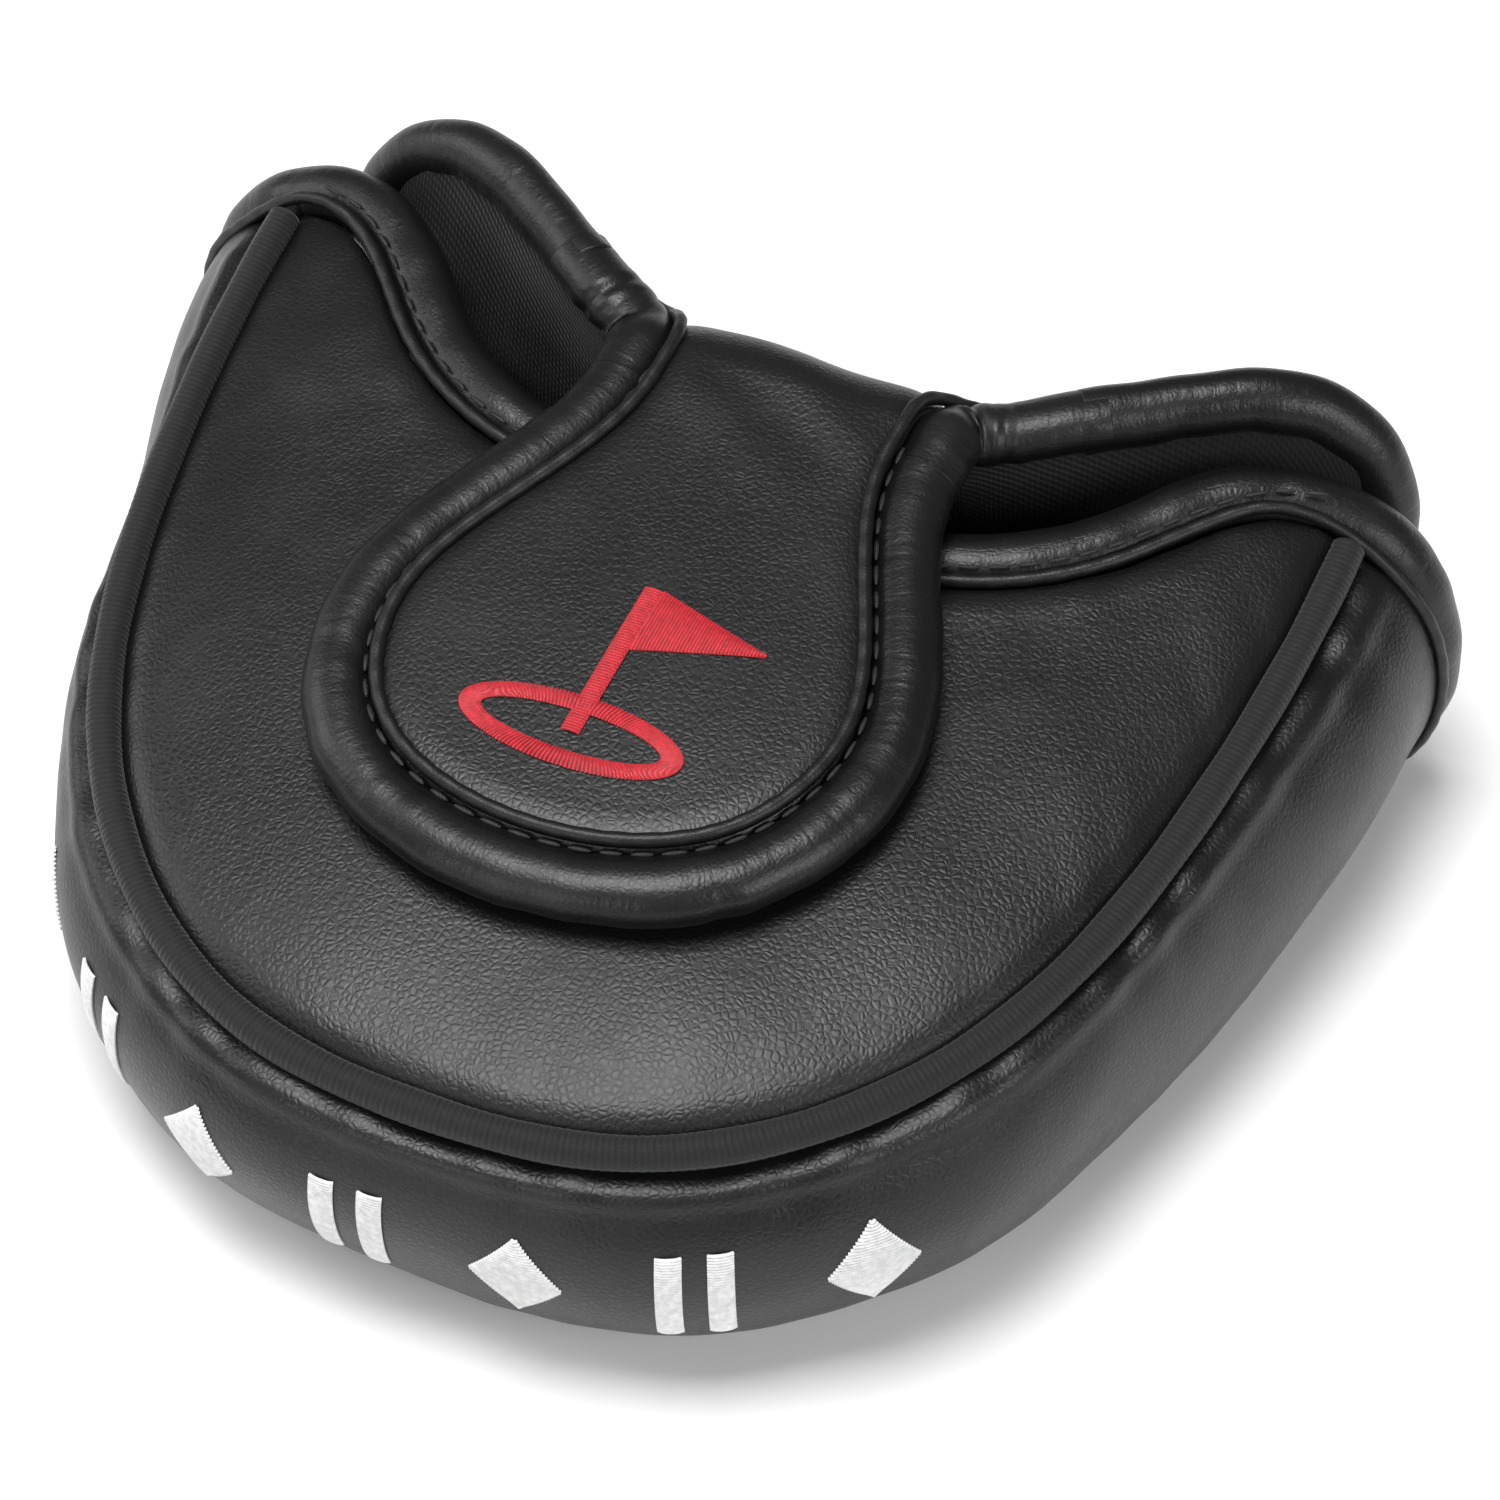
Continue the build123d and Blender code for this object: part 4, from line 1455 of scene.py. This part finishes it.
            for x, z in ((18.2, 44.7), (22.8, 43.6), (31.0, 43.1)):
                keys.append(P.wall(np.array(side * x), np.array(z), P.thick + 0.8))
            line = spline(keys, 300)
            rings = rings_along(line, P.welt + 0.03 * np.sin(lengths(line) * 2.0), 10, (1, 0, 0))
            obj = self.kit.shop.tube(f"fold_welt_{label}", rings)
            self.kit.finish(obj, self.kit.cord, Slot.CORD, None)
            fold_bend(self.kit, obj)

    def roll(self, name: str, line: np.ndarray, creases: Creases,
             weight: Callable[[np.ndarray], np.ndarray] | None, body: Body | None,
             replaces: Sequence[str]) -> None:
        """Soft roll of the edge binding's width, on one body or across the fold.

        Args:
            name: Piece name.
            line: Centre line samples.
            creases: Creases of the roll.
            weight: Depth multiplier of a crease as a function of its place.
            body: Body it moves with, or None if it lies across the fold and is set on no body.
            replaces: CAD nodes that it stands for.
        """
        sides = 28
        wide = P.roll_wide if body is None else P.roll_wide - 0.3
        radii = creases.radius(line, wide, sides, weight)
        rings = rings_along(line, radii, sides, (0, 0.6, 1) if body else (0, 0.2, 1),
                            P.roll_high / wide)
        obj = self.kit.shop.tube(name, rings, strip(line, 2 * math.pi * wide, sides))
        self.kit.finish(obj, self.kit.roll, Slot.BINDING, body, replaces)
        if body is None:
            fold_bend(self.kit, obj)


def fold_bend(kit: Kit, obj: bpy.types.Object) -> None:
    """Bake the placement into the mesh of a piece that lies across the fold between the rear wall and
    the flap.

    Args:
        kit: Workshop and finishes.
        obj: Piece that crosses the fold.
    """
    mid = P.inner + P.thick / 2
    arc = P.bend * mid
    ends = P.round_fold(np.zeros(2), np.array([arc + 0.5 * P.stub, -P.stub]), np.full(2, mid))
    ends = kit.shop.place(ends)
    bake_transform(obj)


@dataclass
class Flap:
    """Tongue flap, padded in one piece over the fold, with roll, welt and stitches."""

    kit: Kit
    rows: int = 190
    columns: int = 96

    @property
    def fold_run(self) -> float:
        """Length of the fold's middle line."""
        return P.bend * (P.inner + P.thick / 2)

    def border(self, inset: float, count: int, past: float) -> np.ndarray:
        """Right half of the pad's border, from behind the fold to the tip.

        Args:
            inset: Distance inside the tongue's outline.
            count: Number of samples.
            past: How far it goes on behind the fold.

        Returns:
            Line samples.
        """
        half = sideways(P.tongue_half_line(count), -inset)
        half = np.vstack([half[:-1], [(0.0, half[-1, 1])]])
        top = [(half[0, 0] + 4.0 * min(max(run / self.fold_run, 0), 1) ** 2, run)
               for run in np.linspace(self.fold_run + past, half[0, 1] + 1, 30)]
        return even(np.vstack([top, half]), count)

    def level(self, plan: np.ndarray) -> np.ndarray:
        """Height of the pad's upper face over the hinge line.

        Args:
            plan: Plan points on the pad.

        Returns:
            Heights, in millimetres.
        """
        half = self.border(0.0, 500, P.stub)
        edge = nearest(plan, np.vstack([half, half[::-1] * (-1, 1)])) - P.welt_in
        rise = 7.5 + 0.75 * quarter(edge / 3.5) + 0.5 * (1 - np.exp(-np.maximum(edge, 0) / 9))
        inside = quarter(edge / 8)
        rise = rise + 0.10 * Ripple(91, 30)(plan) * inside
        over = np.exp(-((plan[..., 1] - 2) / 9) ** 2)
        rise = rise + 0.22 * over * inside * np.sin(plan[..., 0] * 0.33 + plan[..., 1] * 0.5 + 0.8)
        behind = np.clip((plan[..., 1] - self.fold_run) / (P.stub + 2), 0, 1)
        return rise - 3.0 * behind ** 2

    def build(self) -> None:
        """Make every piece of the flap."""
        half = self.border(P.welt_in - 0.55, self.rows, P.stub + 2)
        t = (0.5 - 0.5 * np.cos(np.linspace(0, math.pi, self.columns)))[None, :, None]
        right = half[:, None, :]
        left = right * (-1, 1)
        plan = right * (1 - t) + left * t
        upper = P.round_fold(plan[..., 0], plan[..., 1], self.level(plan))
        lower = P.round_fold(plan[..., 0], plan[..., 1], np.full(plan.shape[:2], P.inner))
        obj = self.kit.shop.pad("flap_pad", upper, lower)
        self.kit.finish(obj, self.kit.leather, Slot.LEATHER, None,
                        ["fold_panel", "flap_skin", "flap_foam", "flap_backing"])
        fold_bend(self.kit, obj)
        self.edge()

    def edge(self) -> None:
        """Roll, welt and stitches round the flap."""
        plan = sideways(P.tongue_line(1100), -P.roll_in)
        line = P.hinge(np.column_stack([plan, np.full(len(plan), P.inner + P.thick / 2)]))
        sides = 28
        radii = Creases(95, 0.13, 5.0, 1.5).radius(
            line, P.roll_wide, sides, lambda at: 0.6 + 0.9 * math.exp(-((at[1] + 24) / 16) ** 2))
        rings = rings_along(line, radii, sides, (0, 0, 1), P.roll_high / P.roll_wide)
        obj = self.kit.shop.tube("flap_roll", rings, strip(line, 2 * math.pi * P.roll_wide, sides))
        self.kit.finish(obj, self.kit.roll, Slot.BINDING, Body.FLAP, ["flap_binding"])
        plan = sideways(P.tongue_line(900), -P.welt_in)
        line = P.hinge(np.column_stack([plan, np.full(len(plan), 8.25)]))
        rings = rings_along(line, P.welt + 0.03 * np.sin(lengths(line) * 2.0), 10)
        obj = self.kit.shop.tube("flap_welt", rings)
        self.kit.finish(obj, self.kit.cord, Slot.CORD, Body.FLAP, ["flap_cord"])
        plan = sideways(P.tongue_line(500), -P.welt_in + 1.15)
        line = P.hinge(np.column_stack([plan, np.full(len(plan), 7.35)]))
        self.kit.seam("flap_stitches", line, Body.FLAP)


@dataclass
class Embroidery:
    """Red flag on the flap and white shapes along the gusset."""

    kit: Kit
    flap: Flap
    pouch: Pouch
    thread: float = 0.21
    gap: float = 0.34
    flag_height: float = 19.0
    flag_width: float = 15.0
    badge_x: float = 1.5
    badge_y: float = -6.0
    count: int = 7
    pitch: float = 18.0
    start: float = -60.0
    height: float = 12.0
    width: float = 9.5
    level: float = 17.0

    def build(self) -> None:
        """Make both embroideries."""
        self.badge()
        self.row()

    def arch(self, a: np.ndarray, b: np.ndarray, lift: float) -> np.ndarray:
        """Line from a to b that rises in the middle, with heights as a third value."""
        t = np.linspace(0, 1, 6)[:, None]
        flat = a * (1 - t) + b * t
        rise = lift * np.sin(math.pi * np.clip(t, 0.0, 1.0)) ** 0.5
        return np.concatenate([flat, rise], axis=1)

    def badge(self) -> None:
        """Pin flag in red satin stitch."""
        strokes = []
        tall, wide = self.flag_height, self.flag_width
        for y in np.arange(-tall / 2, tall / 2, self.gap):
            strokes.append(((-2.95, y), (-1.05, y)))
        for x in np.arange(-0.9, wide - 3.2, self.gap):
            share = (x + 1.1) / (wide - 1.9)
            top = tall / 2 - 3.6 * share
            low = tall / 2 - 8.0 + 4.4 * share
            strokes.append(((x, low), (x, top)))
        for k in range(165):
            a = 2 * math.pi * k / 165
            c, s = math.cos(a), math.sin(a)
            strokes.append(((-2 + 9.8 * c, -tall / 2 + 2.4 * s), (-2 + 12 * c, -tall / 2 + 4.2 * s)))
        lines = []
        for a, b in strokes:
            flat = self.arch(np.array(a), np.array(b), 0.22)
            plan = flat[:, :2] + (self.badge_x, self.badge_y - P.fold_y)
            level = self.flap.level(plan) + 0.05 + flat[:, 2]
            lines.append(P.hinge(np.column_stack([plan, level])))
        obj = self.kit.edges("flag_badge", lines)
        self.kit.threads.run(obj, self.thread * MM, self.kit.red)
        self.kit.finish(obj, self.kit.red, Slot.RED, Body.FLAP, ["flap_badge"])

    def row(self) -> None:
        """Lozenges and double bars in white satin stitch."""
        grid, share = self.pouch.gusset_surface()
        heights = grid[:, grid.shape[1] // 2, 2]
        belt = grid[np.searchsorted(heights, self.level)]
        gone = lengths(belt)
        out = np.cross(np.gradient(grid, axis=1), np.gradient(grid, axis=0))
        out /= np.maximum(np.linalg.norm(out, axis=2), 1e-9)[..., None]
        upward = lengths(grid[:, grid.shape[1] // 2])
        middle = upward[np.searchsorted(heights, self.level)]
        lines = []
        for index in range(self.count):
            centre = gone[-1] / 2 + self.start + self.pitch * index
            for step in np.arange(-self.height / 2, self.height / 2 + 1e-6, self.gap):
                if index % 2:
                    spans = [(-3.9, -1.3), (1.3, 3.9)]
                else:
                    half = self.width / 2 * (1 - abs(step) / (self.height / 2)) + 0.15
                    spans = [(-half, half)]
                for low, high in spans:
                    flat = self.arch(np.array([centre + low]), np.array([centre + high]), 0.22)
                    col = np.interp(flat[:, 0], gone, np.arange(len(gone)))
                    row = np.interp(middle + step, upward, np.arange(len(upward)))
                    spot = self.sample(grid, row, col)
                    normal = self.sample(out, row, col)
                    lines.append(spot + normal * (0.05 + flat[:, 1:2]))
        obj = self.kit.edges("gusset_marks", lines)
        self.kit.threads.run(obj, self.thread * MM, self.kit.white)
        self.kit.finish(obj, self.kit.white, Slot.WHITE, Body.POUCH, ["gusset_row"])

    @staticmethod
    def sample(grid: np.ndarray, row: float, col: np.ndarray) -> np.ndarray:
        """Places between a grid's points, at one row and several columns.

        Args:
            grid: Grid of places.
            row: Row, with a fraction.
            col: Columns, with fractions.

        Returns:
            The places.
        """
        r = min(int(row), grid.shape[0] - 2)
        c = np.clip(col.astype(int), 0, grid.shape[1] - 2)
        u, v = row - r, (col - c)[:, None]
        low = grid[r, c] * (1 - v) + grid[r, c + 1] * v
        high = grid[r + 1, c] * (1 - v) + grid[r + 1, c + 1] * v
        return low * (1 - u) + high * u


@dataclass
class Studio:
    """Floor, lights and camera."""

    azimuth: float = 22.96
    elevation: float = 51.48
    distance: float = 0.5218
    target: tuple = (0.01005, 0.00481, 0.025)
    lens: float = 120.0

    def build(self) -> None:
        """Set up the studio."""
        self.floor()
        self.camera()
        self.lights()

    def floor(self) -> None:
        """Pale floor under the cover."""
        data = bpy.data.meshes.new("floor")
        data.from_pydata([(-3, -3, 0), (3, -3, 0), (3, 3, 0), (-3, 3, 0)], [], [(0, 1, 2, 3)])
        obj = bpy.data.objects.new("floor", data)
        bpy.context.scene.collection.objects.link(obj)
        data.materials.append(Paper().build())

    def camera(self) -> None:
        """Camera that looks down at the flap."""
        data = bpy.data.cameras.new("camera")
        data.lens = self.lens
        data.sensor_width = 36.0
        data.clip_start = 0.02
        obj = bpy.data.objects.new("camera", data)
        bpy.context.scene.collection.objects.link(obj)
        a, e = math.radians(self.azimuth), math.radians(self.elevation)
        back = Vector((math.sin(a) * math.cos(e), -math.cos(a) * math.cos(e), math.sin(e)))
        obj.location = Vector(self.target) + back * self.distance
        obj.rotation_euler = back.to_track_quat("Z", "Y").to_euler()
        bpy.context.scene.camera = obj

    def lights(self) -> None:
        """Soft boxes and an even white surround."""
        for name, place, size, power in (
                ("overhead", (-0.12, -0.06, 1.1), 0.55, 12.0),
                ("left", (-1.0, -0.1, 0.6), 0.7, 5.0),
                ("right", (0.95, -0.35, 0.6), 0.6, 5.5),
                ("front", (-0.2, -1.0, 0.5), 0.6, 3.0)):
            data = bpy.data.lights.new(name, "AREA")
            data.energy = power
            data.size = size
            obj = bpy.data.objects.new(name, data)
            bpy.context.scene.collection.objects.link(obj)
            obj.location = place
            obj.rotation_euler = Vector(place).to_track_quat("Z", "Y").to_euler()
        world = bpy.data.worlds.new("surround")
        world.use_nodes = True
        world.node_tree.nodes["Background"].inputs[0].default_value = (1, 1, 1, 1)
        world.node_tree.nodes["Background"].inputs[1].default_value = 0.16
        bpy.context.scene.world = world
        bpy.context.scene.view_settings.view_transform = "Standard"


def main() -> None:
    """Build the cover and the studio."""
    kit = Kit()
    pouch = Pouch(kit)
    pouch.build()
    RearWall(kit).build()
    flap = Flap(kit)
    flap.build()
    Embroidery(kit, flap, pouch).build()
    for name in ("flap_magnet_left", "flap_magnet_right", "panel_magnet_left",
                 "panel_magnet_right"):
        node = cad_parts[name]
        node.data.materials.clear()
        node.data.materials.append(kit.metal)
    Studio().build()


if __name__ == "__main__":
    main()
